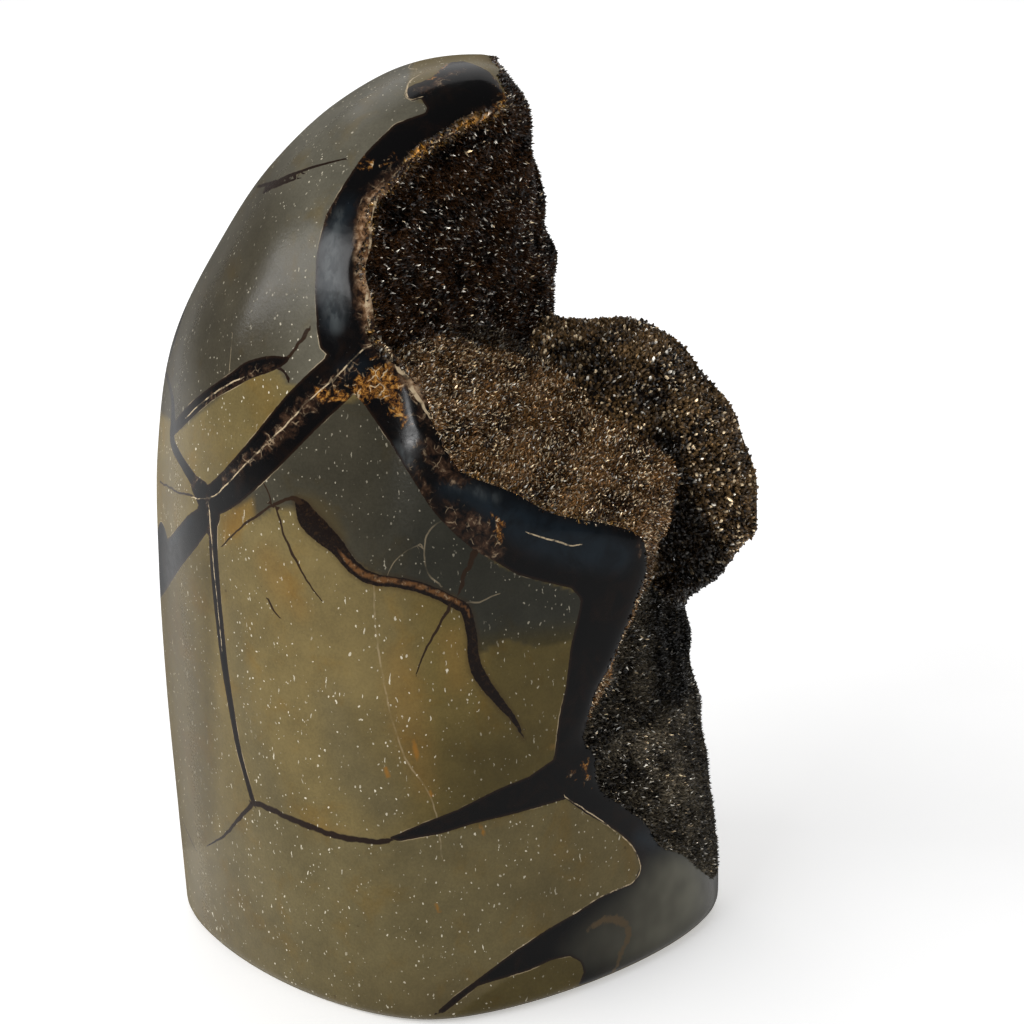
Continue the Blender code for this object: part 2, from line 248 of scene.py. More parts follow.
FAINT_LINES = {
    "long_hair": [(374, 581, 1.6), (375, 621, 1.6), (380, 660, 1.6), (386, 693, 1.6),
                  (394, 725, 1.6), (406, 760, 1.6), (424, 785, 1.4), (436, 813, 1.4), (442, 857, 1.6)],
    "twist": [(446, 518, 1.6), (434, 526, 1.4), (427, 536, 1.4), (424, 556, 1.4), (428, 573, 1.4),
              (440, 585, 1.6)],
    "twist_low": [(422, 543, 1), (410, 549, 1), (400, 556, 1), (393, 564, 1), (388, 573, 1)],
    "hook": [(468, 603, 1.6), (480, 602, 1.4), (490, 597, 1.2), (498, 594, 1)],
    "upper_hair": [(232, 335, 1), (231, 350, 1), (229, 372, 1)],
    "lower_hair": [(228, 496, 1), (226, 520, 1), (224, 548, 1)],
}

# Calcite that is gold and orange, and calcite that is brown with a net of cream, both cloudy.
AMBER_AREAS = {
    "where_veins_meet": [(318, 394, 8), (335, 392, 13), (352, 396, 14), (366, 388, 22),
                         (378, 378, 26), (390, 392, 24), (399, 408, 16), (408, 424, 6)],
    "shelf_edge": [(492, 514, 4), (500, 526, 6), (500, 542, 5)],
    "top_left": [(430, 80, 4), (438, 70, 6), (448, 64, 5)],
    "top_right": [(496, 74, 4), (502, 86, 6), (505, 100, 8), (496, 108, 8)],
    "lower_corner": [(586, 768, 9), (590, 783, 5)],
    "lower_spots": [(572, 776, 3), (574, 779, 3)],
    "rim_wedge": [(362, 162, 4), (374, 164, 6), (390, 160, 6)],
}
UMBER_AREAS = {
    "rim_upper": [(372, 345, 14), (368, 320, 20), (366, 290, 22), (366, 250, 20), (366, 215, 22),
                  (378, 192, 22), (398, 173, 20), (420, 155, 18), (442, 142, 16), (464, 129, 16),
                  (484, 116, 16), (498, 106, 12)],
    "rim_fringe": [(341, 188, 4), (333, 202, 5), (327, 214, 5), (322, 228, 3)],
    "shelf_high": [(386, 346, 12), (400, 372, 16), (414, 396, 16), (426, 420, 12)],
    "shelf_corner": [(424, 446, 14), (440, 462, 20), (458, 478, 16), (472, 480, 8)],
    "shelf_left": [(412, 468, 10), (424, 488, 8), (434, 506, 6)],
    "shelf_lobe": [(444, 508, 12), (458, 520, 24), (474, 532, 32), (488, 546, 26), (498, 562, 10)],
    "band_heart": [(356, 366, 6), (330, 384, 14), (300, 412, 18), (272, 440, 18), (246, 462, 12),
                   (222, 482, 8)],
    "crescent_heart": [(270, 366, 6), (250, 374, 11), (230, 386, 10), (205, 404, 6)],
    "top_brown": [(414, 90, 8), (430, 86, 14), (448, 76, 12), (466, 70, 6)],
    "upright_top": [(208, 505, 5), (210, 530, 6), (213, 560, 4)],
    "left_corner": [(192, 486, 8), (203, 474, 4)],
    "side_edge": [(640, 536, 6), (641, 552, 6)],
}

# Warm and smoky clouds in the tan mudstone.
WARM_PATCHES = {
    "by_hairline": [(398, 660, 16), (404, 700, 26), (416, 745, 24), (426, 785, 14)],
    "high_left": [(268, 560, 18), (280, 584, 24), (300, 610, 10)],
    "by_fork": [(452, 640, 14), (458, 680, 14)],
    "under_seam": [(300, 832, 8), (340, 838, 8)],
}
SMOKY_PATCHES = {
    "by_upright": [(236, 620, 6), (242, 690, 12), (256, 750, 22), (276, 800, 20)],
    "under_hairline": [(330, 700, 20), (352, 770, 30), (384, 806, 24)],
}

# Mudstone that is grey instead of tan, and the ochre stain by the corner of the band.
GREY_AREA = [(228, 505), (300, 440), (330, 405), (366, 398), (395, 440), (450, 520), (500, 566),
             (584, 594), (580, 636), (568, 641), (539, 647), (505, 638), (476, 655), (470, 645),
             (466, 612), (457, 599), (396, 582), (369, 573), (330, 541), (304, 510), (275, 507),
             (252, 522)]
OCHRE_AREA = [(222, 516), (253, 497), (256, 517), (240, 532), (222, 546)]
UPPER_AREA = [(140, 400), (182, 428), (250, 372), (276, 366), (288, 384), (306, 386), (340, 352),
              (316, 290), (325, 224),
              (363, 159), (400, 124), (440, 108), (405, 96), (412, 60), (470, 40), (470, 20),
              (100, 20), (100, 400)]
LOWER_AREA = [(100, 860), (207, 846), (253, 803), (328, 833), (388, 841), (440, 834), (566, 799),
              (640, 850), (640, 890), (430, 1030), (100, 1030)]

# Veins on the sides that face away, as (azimuth about the axis in degrees, height, width), all in
# millimetres but the azimuth: 180 is the left, 90 the back.
HIDDEN_VEINS = {
    "wedge_round": [(196, 74, 9.0), (184, 70, 8.0), (170, 74, 6.5), (156, 84, 5.5), (141, 90, 5.0),
                    (124, 88, 4.5), (110, 92, 4.0)],
    "left_round": [(184, 103, 1.2), (188, 111, 2.0), (180, 118, 3.0), (168, 121, 3.5), (150, 117, 3.0),
                   (141, 90, 3.0)],
    "seam_round": [(186, 93, 1.5), (176, 96, 1.5), (163, 99, 1.2), (152, 117, 1.0)],
    "back_rise": [(110, 92, 4.0), (100, 106, 4.5), (88, 120, 4.0), (80, 134, 3.0), (66, 146, 2.2),
                  (58, 152, 1.2), (54, 155, 0.4)],
    "back_top": [(150, 117, 2.5), (132, 128, 2.2), (112, 136, 2.0), (80, 134, 2.5)],
    "back_down": [(124, 88, 3.5), (128, 66, 3.0), (122, 48, 3.0), (126, 28, 2.6), (120, 10, 2.0),
                  (120, -1, 1.6)],
    "back_across": [(122, 48, 2.4), (104, 42, 2.8), (86, 46, 3.6), (66, 44, 5.0), (48, 50, 6.0),
                    (34, 48, 7.0), (20, 50, 8.0), (6, 52, 9.0)],
    "left_down": [(184, 70, 2.5), (176, 52, 2.2), (168, 36, 2.0), (156, 24, 1.6), (126, 28, 1.4)],
    "right_back": [(110, 92, 3.0), (92, 84, 3.6), (72, 84, 5.0), (56, 78, 6.0), (40, 72, 7.0),
                   (24, 74, 8.0), (8, 76, 9.0), (-10, 77, 9.5)],
    "base_right": [(86, 46, 2.0), (80, 28, 1.8), (72, 12, 1.4), (72, -1, 1.2)],
}
HIDDEN_SEAMS = {
    "wedge_seam": [(184, 70, 0.4), (170, 74, 0.5), (156, 84, 0.5), (141, 90, 0.5), (124, 88, 0.4)],
    "across_seam": [(104, 42, 0.3), (86, 46, 0.5), (66, 44, 0.6), (48, 50, 0.6)],
    "right_seam": [(92, 84, 0.3), (72, 84, 0.5), (56, 78, 0.6)],
    "rise_seam": [(110, 92, 0.3), (100, 106, 0.5), (88, 120, 0.4)],
}
HIDDEN_BROWN = {
    "back_twig": [(150, 104, 0.4), (142, 106, 0.9), (134, 102, 1.0), (126, 98, 0.8),
                  (119, 90, 0.6)],
    "left_twig": [(172, 54, 0.4), (163, 58, 0.9), (154, 56, 1.1), (146, 60, 1.0), (139, 68, 0.8),
                  (130, 70, 0.6)],
    "low_twig": [(104, 40, 0.7), (100, 30, 0.6), (94, 22, 0.5), (96, 12, 0.2)],
    "high_twig": [(120, 130, 0.8), (118, 120, 0.7), (110, 112, 0.5), (102, 106, 0.5)],
}

# Smoky grey calcite at the foot, and the ragged tan patch in it.
SMOKY_CALCITE = [(654, 868), (676, 858), (704, 864), (714, 895), (694, 924), (655, 946), (615, 964),
                 (580, 968), (566, 950), (584, 930), (612, 908), (640, 890)]
RAGGED_TAN = [(588, 930, 3), (597, 923, 6), (611, 919, 8), (624, 923, 8), (629, 936, 7), (622, 951, 6),
              (616, 968, 4), (608, 976, 2)]

# Rosy calcite along the rim of the open side, paled in part as a painted highlight on the rim.
ROSY_RIM_AND_HIGHLIGHT = {
    "upper": [(388, 186, 6), (374, 196, 10), (366, 214, 13), (363, 240, 15), (364, 270, 15), (366, 300, 12),
              (370, 326, 8)],
    "shelf": [(384, 348, 4), (398, 362, 9), (412, 382, 10), (424, 400, 7)],
}

# Bluish clouds in the black calcite, partly its own tint and partly painted sheen, and a pale haze that is
# a painted reflection.
BLUE_SHEEN = {
    "shelf": [(446, 488, 14), (470, 496, 20), (500, 510, 30), (540, 534, 40), (590, 548, 40),
              (620, 556, 30)],
    "upper": [(348, 205, 14), (334, 235, 20), (328, 275, 24), (332, 320, 18)],
    "band": [(345, 372, 10), (362, 366, 10)],
    "foot": [(640, 838, 14), (670, 846, 18), (690, 856, 10)],
    "wedge": [(170, 540, 8), (190, 520, 8)],
}
# Painted reflection: where the black calcite shows a pale haze.
PAINTED_HAZE = {
    "upper": [(340, 214, 10), (332, 240, 18), (331, 270, 22), (333, 300, 22), (336, 326, 14)],
    "shelf": [(452, 484, 8), (472, 490, 10), (496, 498, 8)],
    "shelf_edge": [(399, 446, 8), (406, 456, 11), (411, 464, 9)],
}

# Where the crystals beside the rim are gold, and where they grow into larger gold lumps.
GOLD_RIMS = {
    "upper": [(367, 190, 12), (385, 172, 14), (417, 150, 14), (440, 138, 14), (463, 127, 16),
              (484, 114, 12), (505, 100, 8)],
    "upper_side": [(372, 335, 5), (370, 290, 5), (372, 240, 5), (378, 205, 8)],
    "shelf": [(475, 480, 6), (515, 500, 7), (556, 512, 7), (596, 521, 7), (626, 534, 7)],
}
GOLD_LUMPS = {
    "high": [(462, 130, 8), (471, 124, 13), (480, 117, 11)],
    "lower": [(412, 152, 5), (420, 148, 5)],
}

# The fields that the stone's finish reads: distances to lines; shares that rise from one distance
# to another, nought outside and one inside; and lines finer than the grid, drawn and hidden.
SHARP_FIELDS = {
    "brown": BROWN_VEINS,
    "heart": BROWN_HEARTS,
    "ragged": {"patch": RAGGED_TAN},
    "stain": STAINS,
    "amber": AMBER_AREAS,
    "umber": UMBER_AREAS,
}
SOFT_FIELDS = {
    "halo": ({"vein": VEIN_HALO}, -1.6, 0.6),
    "rosy": (ROSY_RIM_AND_HIGHLIGHT, -0.6, 0.8),
    "sheen": (BLUE_SHEEN, -2.0, 2.5),
    "painted_haze": (PAINTED_HAZE, -1.0, 2.0),
}
FINE_FIELDS = {
    "seam": (CREAM_LINES, HIDDEN_SEAMS),
    "faint": (FAINT_LINES, {}),
    "dark": (FINE_DARK, {}),
    "brown": (FINE_BROWN, HIDDEN_BROWN),
}

# Colours as the finishes use them, linear.
TONES = {
    "tan": (0.1400, 0.1060, 0.0420), "tan_bright": (0.1580, 0.1180, 0.0460),
    "tan_warm": (0.124, 0.090, 0.027), "left_panel": (0.0880, 0.0640, 0.0200),
    "lower": (0.1210, 0.0960, 0.0430), "lower_left": (0.1240, 0.0980, 0.0470),
    "lower_right": (0.104, 0.080, 0.033), "warm_patch": (0.190, 0.110, 0.026),
    "smoky_patch": (0.085, 0.075, 0.045),
    "lower_foot": (0.0880, 0.0670, 0.0290), "grey": (0.045, 0.040, 0.027),
    "grey_right": (0.026, 0.025, 0.018),
    "olive": (0.046, 0.035, 0.011), "ochre": (0.155, 0.098, 0.026),
    "upper": (0.0500, 0.0430, 0.0280), "upper_right": (0.098, 0.090, 0.066),
    "far_side": (0.128, 0.104, 0.058), "fleck": (0.66, 0.60, 0.46), "speck": (0.045, 0.025, 0.009),
    "rust": (0.15, 0.085, 0.022), "stain": (0.26, 0.115, 0.016),
    "vein_dark": (0.0060, 0.0028, 0.0018), "vein_brown": (0.0300, 0.0150, 0.0060),
    "vein_heart": (0.1300, 0.0560, 0.0180), "vein_halo": (0.060, 0.045, 0.020),
    "vein_fine": (0.022, 0.011, 0.005), "ragged_tan": (0.0850, 0.0560, 0.0270),
    "calcite_black": (0.0022, 0.0020, 0.0022), "calcite_brown": (0.008, 0.004, 0.0025),
    "calcite_blue": (0.008, 0.013, 0.018), "calcite_painted_haze": (0.0560, 0.0630, 0.0650),
    "calcite_edge": (0.014, 0.007, 0.004),
    "smoke": (0.1080, 0.1030, 0.0760), "smoke_deep": (0.0660, 0.0620, 0.0450),
    "rosy": (0.1900, 0.1000, 0.0480), "rosy_pale": (0.4000, 0.2700, 0.1650),
    "amber": (0.26, 0.105, 0.018), "amber_brown": (0.060, 0.024, 0.008),
    "gold": (0.52, 0.29, 0.075), "gold_lump": (0.42, 0.19, 0.025),
    "umber": (0.0240, 0.0120, 0.0070), "umber_pale": (0.0660, 0.0360, 0.0210),
    "cream": (0.60, 0.47, 0.30), "thread": (0.40, 0.29, 0.18), "painted_glint": (0.66, 0.62, 0.54),
    "druse_floor": (0.008, 0.005, 0.004),
}

# How the crystals' colour runs in each area, the shelf's raised partly as painted light on its upturned
# face; and what shares of them are painted as white glints and as cream highlights.
DRUSE_TONES = {
    "druse_upper": ((0.0020, 0.0012, 0.0008), (0.036, 0.016, 0.006)),
    "druse_shelf": ((0.014, 0.006, 0.002), (0.165, 0.086, 0.032)),
    "druse_lobe": ((0.007, 0.004, 0.002), (0.102, 0.061, 0.026)),
    "druse_lower": ((0.005, 0.004, 0.003), (0.066, 0.055, 0.038)),
}
PAINTED_GLINT_SHARE = {"druse_upper": 0.030, "druse_shelf": 0.036, "druse_lobe": 0.024, "druse_lower": 0.020}
CREAM_HIGHLIGHT_SHARE = {"druse_upper": 0.01, "druse_shelf": 0.13, "druse_lobe": 0.06, "druse_lower": 0.01}
# Painted sparkle: each corner of a crystal gets its own random brightness, standing in for reflections
# inside the glass.
SHADE_SPREAD = 0.60                  # how much the corners of one crystal differ, as glass does

# Painted shade in nooks and painted light on faces that catch it, against the rest of their area:
# the area, the share of its light, the width of the soft edge on the sheet, and a line with its widths.
PAINTED_DRUSE_SHADE = [
    ("druse_lobe", 0.08, 16, [(664, 440, 14), (672, 470, 30), (676, 520, 52), (690, 560, 70),
                              (690, 600, 70)]),
    ("druse_lobe", 0.45, 10, [(560, 352, 20), (600, 368, 22), (640, 392, 22), (662, 420, 20)]),
    ("druse_shelf", 0.14, 5, [(430, 320, 8), (454, 328, 16), (492, 336, 26), (533, 343, 30),
                              (566, 348, 32)]),
    ("druse_shelf", 0.50, 6, [(580, 352, 28), (610, 372, 22), (640, 392, 18), (664, 420, 14)]),
    ("druse_shelf", 0.45, 8, [(650, 560, 12), (642, 620, 14), (628, 660, 12)]),
    ("druse_upper", 0.35, 8, [(470, 334, 8), (500, 342, 14), (530, 345, 22), (556, 330, 20)]),
    ("druse_lower", 0.18, 14, [(668, 596, 44), (672, 640, 40), (668, 690, 24)]),
    ("druse_lower", 2.00, 14, [(625, 745, 14), (650, 748, 34), (672, 785, 30)]),
]

# Each area's name, blocks, crystal, spacing, widths, heights, lean and droop.
DRUSE_AREAS = [
    ("druse_upper", ("upper", "hood"), "point", 0.30, (0.38, 0.80), (0.9, 1.5), 0.45, (0, 0, 0)),
    ("druse_shelf", ("head", "shelf"), "point", 0.24, (0.34, 0.72), (0.8, 1.3), 0.60, (0, 0, 0.1)),
    ("druse_lobe", ("lobe",), "nail", 0.48, (0.34, 0.76), (1.0, 1.5), 0.48, (0, 0, 0.1)),
    ("druse_lower", ("lower",), "point", 0.27, (0.32, 0.70), (0.8, 1.3), 0.45, (0, 0, 0)),
]

SHELF_FOOT = 72.0                    # above this height the lower block's own face is part of the shelf

# Pale flecks in the mudstone: cell size, rarity, share of the cell, stretch, and how they are turned.
FLECKS = [
    (0.66, 0.50, 0.26, 0.8, (0.3, 0.5, 0.2)),
    (1.30, 0.62, 0.19, 0.7, (0.9, 0.2, 1.4)),
    (2.60, 0.80, 0.10, 0.6, (0.2, 0.9, 0.4)),
    (0.90, 0.64, 0.15, 0.17, (0.10, 0.20, 0.3)),
    (1.00, 0.64, 0.14, 0.15, (0.15, -0.75, 0.2)),
    (0.85, 0.62, 0.15, 0.18, (-0.15, 1.25, 0.1)),
    (1.10, 0.70, 0.12, 0.10, (0.20, 0.70, 0.5)),
]
SPECK_CELL = 2.2

FLOOR_GLOW = 0.38                    # the floor is a faint light table
ROOM_BRIGHTNESS = 0.28
FLOOR_SIDES = 96
FLOOR_REACHES = (200.0, 1200.0, 6000.0, 24000.0)
FILM_WIDTH = 36.0
# Each light's name, place, aim, size in millimetres, power in watts and roll in degrees.
LIGHTS = [
    ("window", (-785, -366, 590), (0, 0, 90), (1300, 150), 8.4, 13),
    ("glint", (260, -840, 260), (10, 0, 90), (50, 120), 0.8, 0),
    ("sweep", (0, 1100, 1000), (0, 1100, 0), (1600, 1400), 9.0, 0),
]


def direction(azimuth, elevation):
    """The unit vector that looks towards an azimuth and an elevation, both in degrees."""
    turn, lift = math.radians(azimuth), math.radians(elevation)
    flat = math.cos(lift)
    return np.array([math.sin(turn) * flat, -math.cos(turn) * flat, math.sin(lift)])


def station_knots():
    """A running length up the form's outline, one value for each station."""
    half_width = (GROUND_STATIONS[:, 2] - GROUND_STATIONS[:, 1]) / 2
    steps = np.hypot(np.diff(GROUND_STATIONS[:, 0]), np.diff(half_width))
    return np.concatenate([[0.0], np.cumsum(steps)])


def row_at(share):
    """The station row at each share of the way up: a cubic Hermite curve through the stations.

    The row past the apex is the one before it with its sides exchanged, so the top is a dome.
    """
    rows = GROUND_STATIONS
    knots = station_knots()
    first, last = knots[1] - knots[0], knots[-1] - knots[-2]
    below = 2 * rows[0] - rows[1]
    over = rows[-2][[0, 2, 1, 4, 3, 5, 6]]
    padded = np.vstack([below, rows, over])
    gaps = np.diff(np.concatenate([[-first], knots, [knots[-1] + last]]))[:, None]
    slopes = np.diff(padded, axis=0) / gaps
    tangents = (slopes[:-1] * gaps[1:] + slopes[1:] * gaps[:-1]) / (gaps[:-1] + gaps[1:])
    where = np.asarray(share) * knots[-1]
    i = np.clip(np.searchsorted(knots, where, side="right") - 1, 0, len(rows) - 2)
    span = (knots[i + 1] - knots[i])[..., None]
    s = (where - knots[i])[..., None] / span
    return (
        (2 * s**3 - 3 * s**2 + 1) * rows[i]
        + (s**3 - 2 * s**2 + s) * span * tangents[i]
        + (3 * s**2 - 2 * s**3) * rows[i + 1]
        + (s**3 - s**2) * span * tangents[i + 1]
    )


def section_reach(azimuth, row):
    """How far a section reaches from its axis: a superellipse with its own reach each way."""
    across, deep = np.cos(azimuth), np.sin(azimuth)
    left, right = row[..., 5] - row[..., 1], row[..., 2] - row[..., 5]
    front, back = row[..., 6] - row[..., 3], row[..., 4] - row[..., 6]
    reach_across = left + (right - left) * (1 + across) / 2
    reach_deep = front + (back - front) * (1 + deep) / 2
    u = np.sqrt(across**2 + CORNER_SOFTNESS**2) / np.maximum(reach_across, 1e-6)
    v = np.sqrt(deep**2 + CORNER_SOFTNESS**2) / np.maximum(reach_deep, 1e-6)
    rise = np.clip(row[..., 0] / GROUND_STATIONS[-1, 0], 0, 1) ** 3
    power = CORNER_POWER_LOW + (CORNER_POWER_TOP - CORNER_POWER_LOW) * rise
    return (u**power + v**power) ** (-1 / power)


def base_inset(height):
    """How far the worn edge of the base draws a section in: a quarter circle."""
    below = np.clip(BASE_EDGE_RADIUS - height, 0, BASE_EDGE_RADIUS)
    return BASE_EDGE_RADIUS - np.sqrt(BASE_EDGE_RADIUS**2 - below**2)


def ground_form(azimuth, share):
    """A point of the ground surface: the section's reach, turned by the azimuth about its axis."""
    row = row_at(share)
    reach = np.maximum(section_reach(azimuth, row) - base_inset(row[..., 0]), 0)
    return np.stack([
        row[..., 5] + reach * np.cos(azimuth),
        row[..., 6] + reach * np.sin(azimuth),
        row[..., 0] + 0 * reach,
    ], axis=-1)


ROW_TABLE = row_at(np.linspace(0, 1, 500))


def outside_ground(points):
    """How far points lie outside the ground form: their distance from its axis less its reach."""
    height = np.clip(points[..., 2], 0, ROW_TABLE[-1, 0])
    row = np.stack([np.interp(height, ROW_TABLE[:, 0], column) for column in ROW_TABLE.T], axis=-1)
    across, deep = points[..., 0] - row[..., 5], points[..., 1] - row[..., 6]
    reach = section_reach(np.arctan2(deep, across), row) - base_inset(height)
    over = np.maximum(points[..., 2] - ROW_TABLE[-1, 0], -points[..., 2])
    return np.maximum(np.hypot(across, deep) - reach, over)


def soft_max(values, softness):
    """The largest of several measures, rounded where two of them meet."""
    return softness * np.logaddexp.reduce(np.stack(values) / softness, axis=0)


def lumps(points):
    """Gentle lumps: a sum of sine waves of several lengths that run in scattered directions."""
    chance = random.Random(SEED)
    total = np.zeros(points.shape[:-1])
    for _ in range(LUMP_WAVES):
        along = direction(chance.uniform(0, 360), chance.uniform(-80, 80))
        length = chance.uniform(*LUMP_LENGTHS)
        total += np.sin(points @ along * (2 * math.pi / length) + chance.uniform(0, 2 * math.pi))
    return LUMP_HEIGHT * total / math.sqrt(LUMP_WAVES / 2)


def block_measures(points):
    """How far points lie outside each block: the largest of its faces' plane distances."""
    blocks = []
    for name, faces in BLOCKS.items():
        measures = [(points - np.array(through)) @ direction(azimuth, elevation)
                    for azimuth, elevation, through in faces]
        if name == "lobe":
            offset = (points - np.array(LOBE_CENTRE)) / np.array(LOBE_RADII)
            measures.append((np.linalg.norm(offset, axis=-1) - 1) * min(LOBE_RADII))
        blocks.append(soft_max(measures, BLOCK_EDGE_SOFTNESS))
    return blocks


def outside_blocks(points):
    """How far points lie outside all the blocks: the least of their measures, less the lumps.

    The lumps die out towards the foot, where the open side meets the ground side at a slant.
    """
    least = -soft_max([-block for block in block_measures(points)], CREVICE_SOFTNESS)
    return least - lumps(points) * ease(points[..., 2], *LUMPY_ABOVE)


def eye_axes():
    """Where the eye is, and its right, up and backward directions."""
    back = direction(0, EYE_ELEVATION)
    right = np.array([1.0, 0.0, 0.0])
    return np.array(EYE_TARGET) + EYE_DISTANCE * back, right, np.cross(back, right), back


def on_sheet(points):
    """Where points fall on the marking sheet: their offset from the eye over their depth."""
    eye, right, up, back = eye_axes()
    offset = points - eye
    scale = EYE_DISTANCE / SHEET_UNIT / -(offset @ back)
    return np.stack([SHEET_CENTRE + offset @ right * scale,
                     SHEET_CENTRE - offset @ up * scale], axis=-1)


def lift_from_sheet(places):
    """The points of the ground form under places of the sheet, found by stepping in from the eye."""
    eye, right, up, back = eye_axes()
    places = np.array(places, float)
    focal = EYE_DISTANCE / SHEET_UNIT
    ray = (-back + ((places[:, :1] - SHEET_CENTRE) * right
                    + (SHEET_CENTRE - places[:, 1:2]) * up) / focal)
    ray /= np.linalg.norm(ray, axis=1, keepdims=True)
    travelled = np.full(len(places), EYE_DISTANCE - LIFT_START)
    nearest = np.full(len(places), 1e9)
    best = travelled.copy()
    for _ in range(LIFT_STEPS):
        gap = outside_ground(eye + travelled[:, None] * ray)
        closer = (gap < nearest) & (nearest > LIFT_NEAR)
        best = np.where(closer, travelled, best)
        nearest = np.minimum(nearest, np.maximum(gap, 0))
        travelled = np.where(nearest > LIFT_NEAR, travelled + np.maximum(gap, 0.05) * 0.5, travelled)
    return eye + best[:, None] * ray


def off_segment(points, start, end):
    """How far along a segment the nearest place to each point lies, and the offset from it."""
    along = end - start
    t = np.clip((points - start) @ along / max(along @ along, 1e-9), 0, 1)
    return t, points - start - t[:, None] * along


def line_distance(points, line, widths):
    """Signed distance in space from points to a line that has a width at each of its corners."""
    nearest = np.full(len(points), FAR_AWAY)
    for start, end, wide, next_wide in zip(line[:-1], line[1:], widths[:-1], widths[1:]):
        t, offset = off_segment(points, start, end)
        gap = np.linalg.norm(offset, axis=1)
        nearest = np.minimum(nearest, gap - (wide + (next_wide - wide) * t) / 2)
    return nearest


def smooth_line(corners, steps=4):
    """A smooth curve through the corners of a line: cubic Hermite pieces with mean slopes."""
    corners = np.array(corners, float)
    padded = np.vstack([2 * corners[0] - corners[1], corners, 2 * corners[-1] - corners[-2]])
    slopes = (padded[2:] - padded[:-2]) / 2
    s = np.linspace(0, 1, steps + 1)[:-1, None, None]
    a, b = corners[:-1], corners[1:]
    curve = ((2 * s**3 - 3 * s**2 + 1) * a + (s**3 - 2 * s**2 + s) * slopes[:-1]
             + (3 * s**2 - 2 * s**3) * b + (s**3 - s**2) * slopes[1:])
    return np.vstack([curve.transpose(1, 0, 2).reshape(-1, corners.shape[1]), corners[-1:]])


def sheet_curve(corners):
    """A line drawn on the sheet, as a smooth curve on the ground form with its widths."""
    curve = smooth_line(corners, SHEET_LINE_STEPS)
    return lift_from_sheet(curve[:, :2]), curve[:, 2] * SHEET_UNIT


def hidden_curve(corners, least_width):
    """A line given by azimuth and height, as a smooth curve on the ground form with its widths."""
    curve = smooth_line(corners, HIDDEN_LINE_STEPS)
    height = np.clip(curve[:, 1], 0, ROW_TABLE[-1, 0])
    share = np.interp(height, ROW_TABLE[:, 0], np.linspace(0, 1, len(ROW_TABLE)))
    return ground_form(np.radians(curve[:, 0]), share), np.maximum(curve[:, 2], least_width)


def sheet_lines_distance(points, lines):
    """Signed distance from points to lines drawn on the sheet, lifted to the ground form."""
    nearest = np.full(len(points), FAR_AWAY)
    for corners in lines.values():
        nearest = np.minimum(nearest, line_distance(points, *sheet_curve(corners)))
    return nearest


def hidden_lines_distance(points, lines):
    """Signed distance from points to lines given by azimuth and height on the ground form."""
    nearest = np.full(len(points), FAR_AWAY)
    for corners in lines.values():
        nearest = np.minimum(nearest, line_distance(points, *hidden_curve(corners, LEAST_VEIN)))
    return nearest


def area_distance(places, outline):
    """Signed distance on the sheet to a closed outline, in its units: inside is negative."""
    corners = np.array(outline, float)
    nearest = np.full(len(places), 1e9)
    inside = np.zeros(len(places), bool)
    for start, end in zip(corners, np.roll(corners, -1, axis=0)):
        along = end - start
        nearest = np.minimum(nearest, np.linalg.norm(off_segment(places, start, end)[1], axis=1))
        spans = (start[1] > places[:, 1]) != (end[1] > places[:, 1])
        level = (places[:, 1] - start[1]) / (along[1] if abs(along[1]) > 1e-9 else 1e-9)
        inside ^= spans & (places[:, 0] < start[0] + level * along[0])
    return np.where(inside, -nearest, nearest)


def ease(value, low, high):
    """Nought below low, one above high and a smooth rise between them."""
    t = np.clip((value - low) / (high - low), 0, 1)
    return t * t * (3 - 2 * t)


# --- meshes ---

def put_in_scene(name, points, triangles, material, smooth=True):
    """A mesh object at the origin from points in millimetres and rows of three point numbers."""
    mesh = bpy.data.meshes.new(name)
    mesh.from_pydata((np.asarray(points) * MM).tolist(), [], np.asarray(triangles).tolist())
    mesh.polygons.foreach_set("use_smooth", np.full(len(mesh.polygons), smooth))
    mesh.materials.append(material)
    mesh.update()
    piece = bpy.data.objects.new(name, mesh)
    bpy.context.scene.collection.objects.link(piece)
    return piece


def give_numbers(piece, **fields):
    """Stores one number, or one colour, for each point of a piece's mesh."""
    for name, values in fields.items():
        values = np.asarray(values, np.float32)
        if values.ndim == 1:
            layer = piece.data.attributes.new(name, "FLOAT", "POINT")
            layer.data.foreach_set("value", values)
        else:
            layer = piece.data.attributes.new(name, "FLOAT_COLOR", "POINT")
            full = np.concatenate([values, np.ones((len(values), 1), np.float32)], axis=1)
            layer.data.foreach_set("color", full.ravel())


def stone_places():
    """Azimuth and share of the stone's grid: its columns stand closer round the open side."""
    turn = np.arange(STONE_COLUMNS) * (2 * math.pi / STONE_COLUMNS)
    azimuth = turn - COLUMN_CROWDING * np.sin(turn - math.radians(OPEN_SIDE_AZIMUTH))
    share = np.linspace(0, 1, STONE_ROWS + 1)[:-1]
    return np.meshgrid(azimuth, share)


def on_rim(azimuth, share):
    """Moves the grid points beside the opening's rim onto it: one Newton step along the grid."""
    over = outside_blocks(ground_form(azimuth, share))
    wrapped = np.concatenate([over[:, -1:], over, over[:, :1]], axis=1)
    down, across = np.gradient(over, axis=0), (wrapped[:, 2:] - wrapped[:, :-2]) / 2
    steep = np.maximum(down**2 + across**2, 1e-9)
    step_across, step_down = -over * across / steep, -over * down / steep
    beside = np.hypot(step_across, step_down) < 0.5
    turn_step = np.roll(azimuth, -1, axis=1) - np.roll(azimuth, 1, axis=1)
    turn_step = np.mod(turn_step, 2 * math.pi) / 2
    azimuth = azimuth + np.where(beside, step_across * turn_step, 0)
    share = share + np.where(beside, step_down / STONE_ROWS, 0)
    return azimuth, np.clip(share, 0, 0.9999), beside, over


def druse_normals(points):
    """Outward directions of the blocks' surface: the slope of their measure at each point."""
    step = 0.6
    slope = np.stack([outside_blocks(points + step * axis) - outside_blocks(points - step * axis)
                      for axis in np.eye(3)], axis=1)
    return slope / np.maximum(np.linalg.norm(slope, axis=1, keepdims=True), 1e-9)


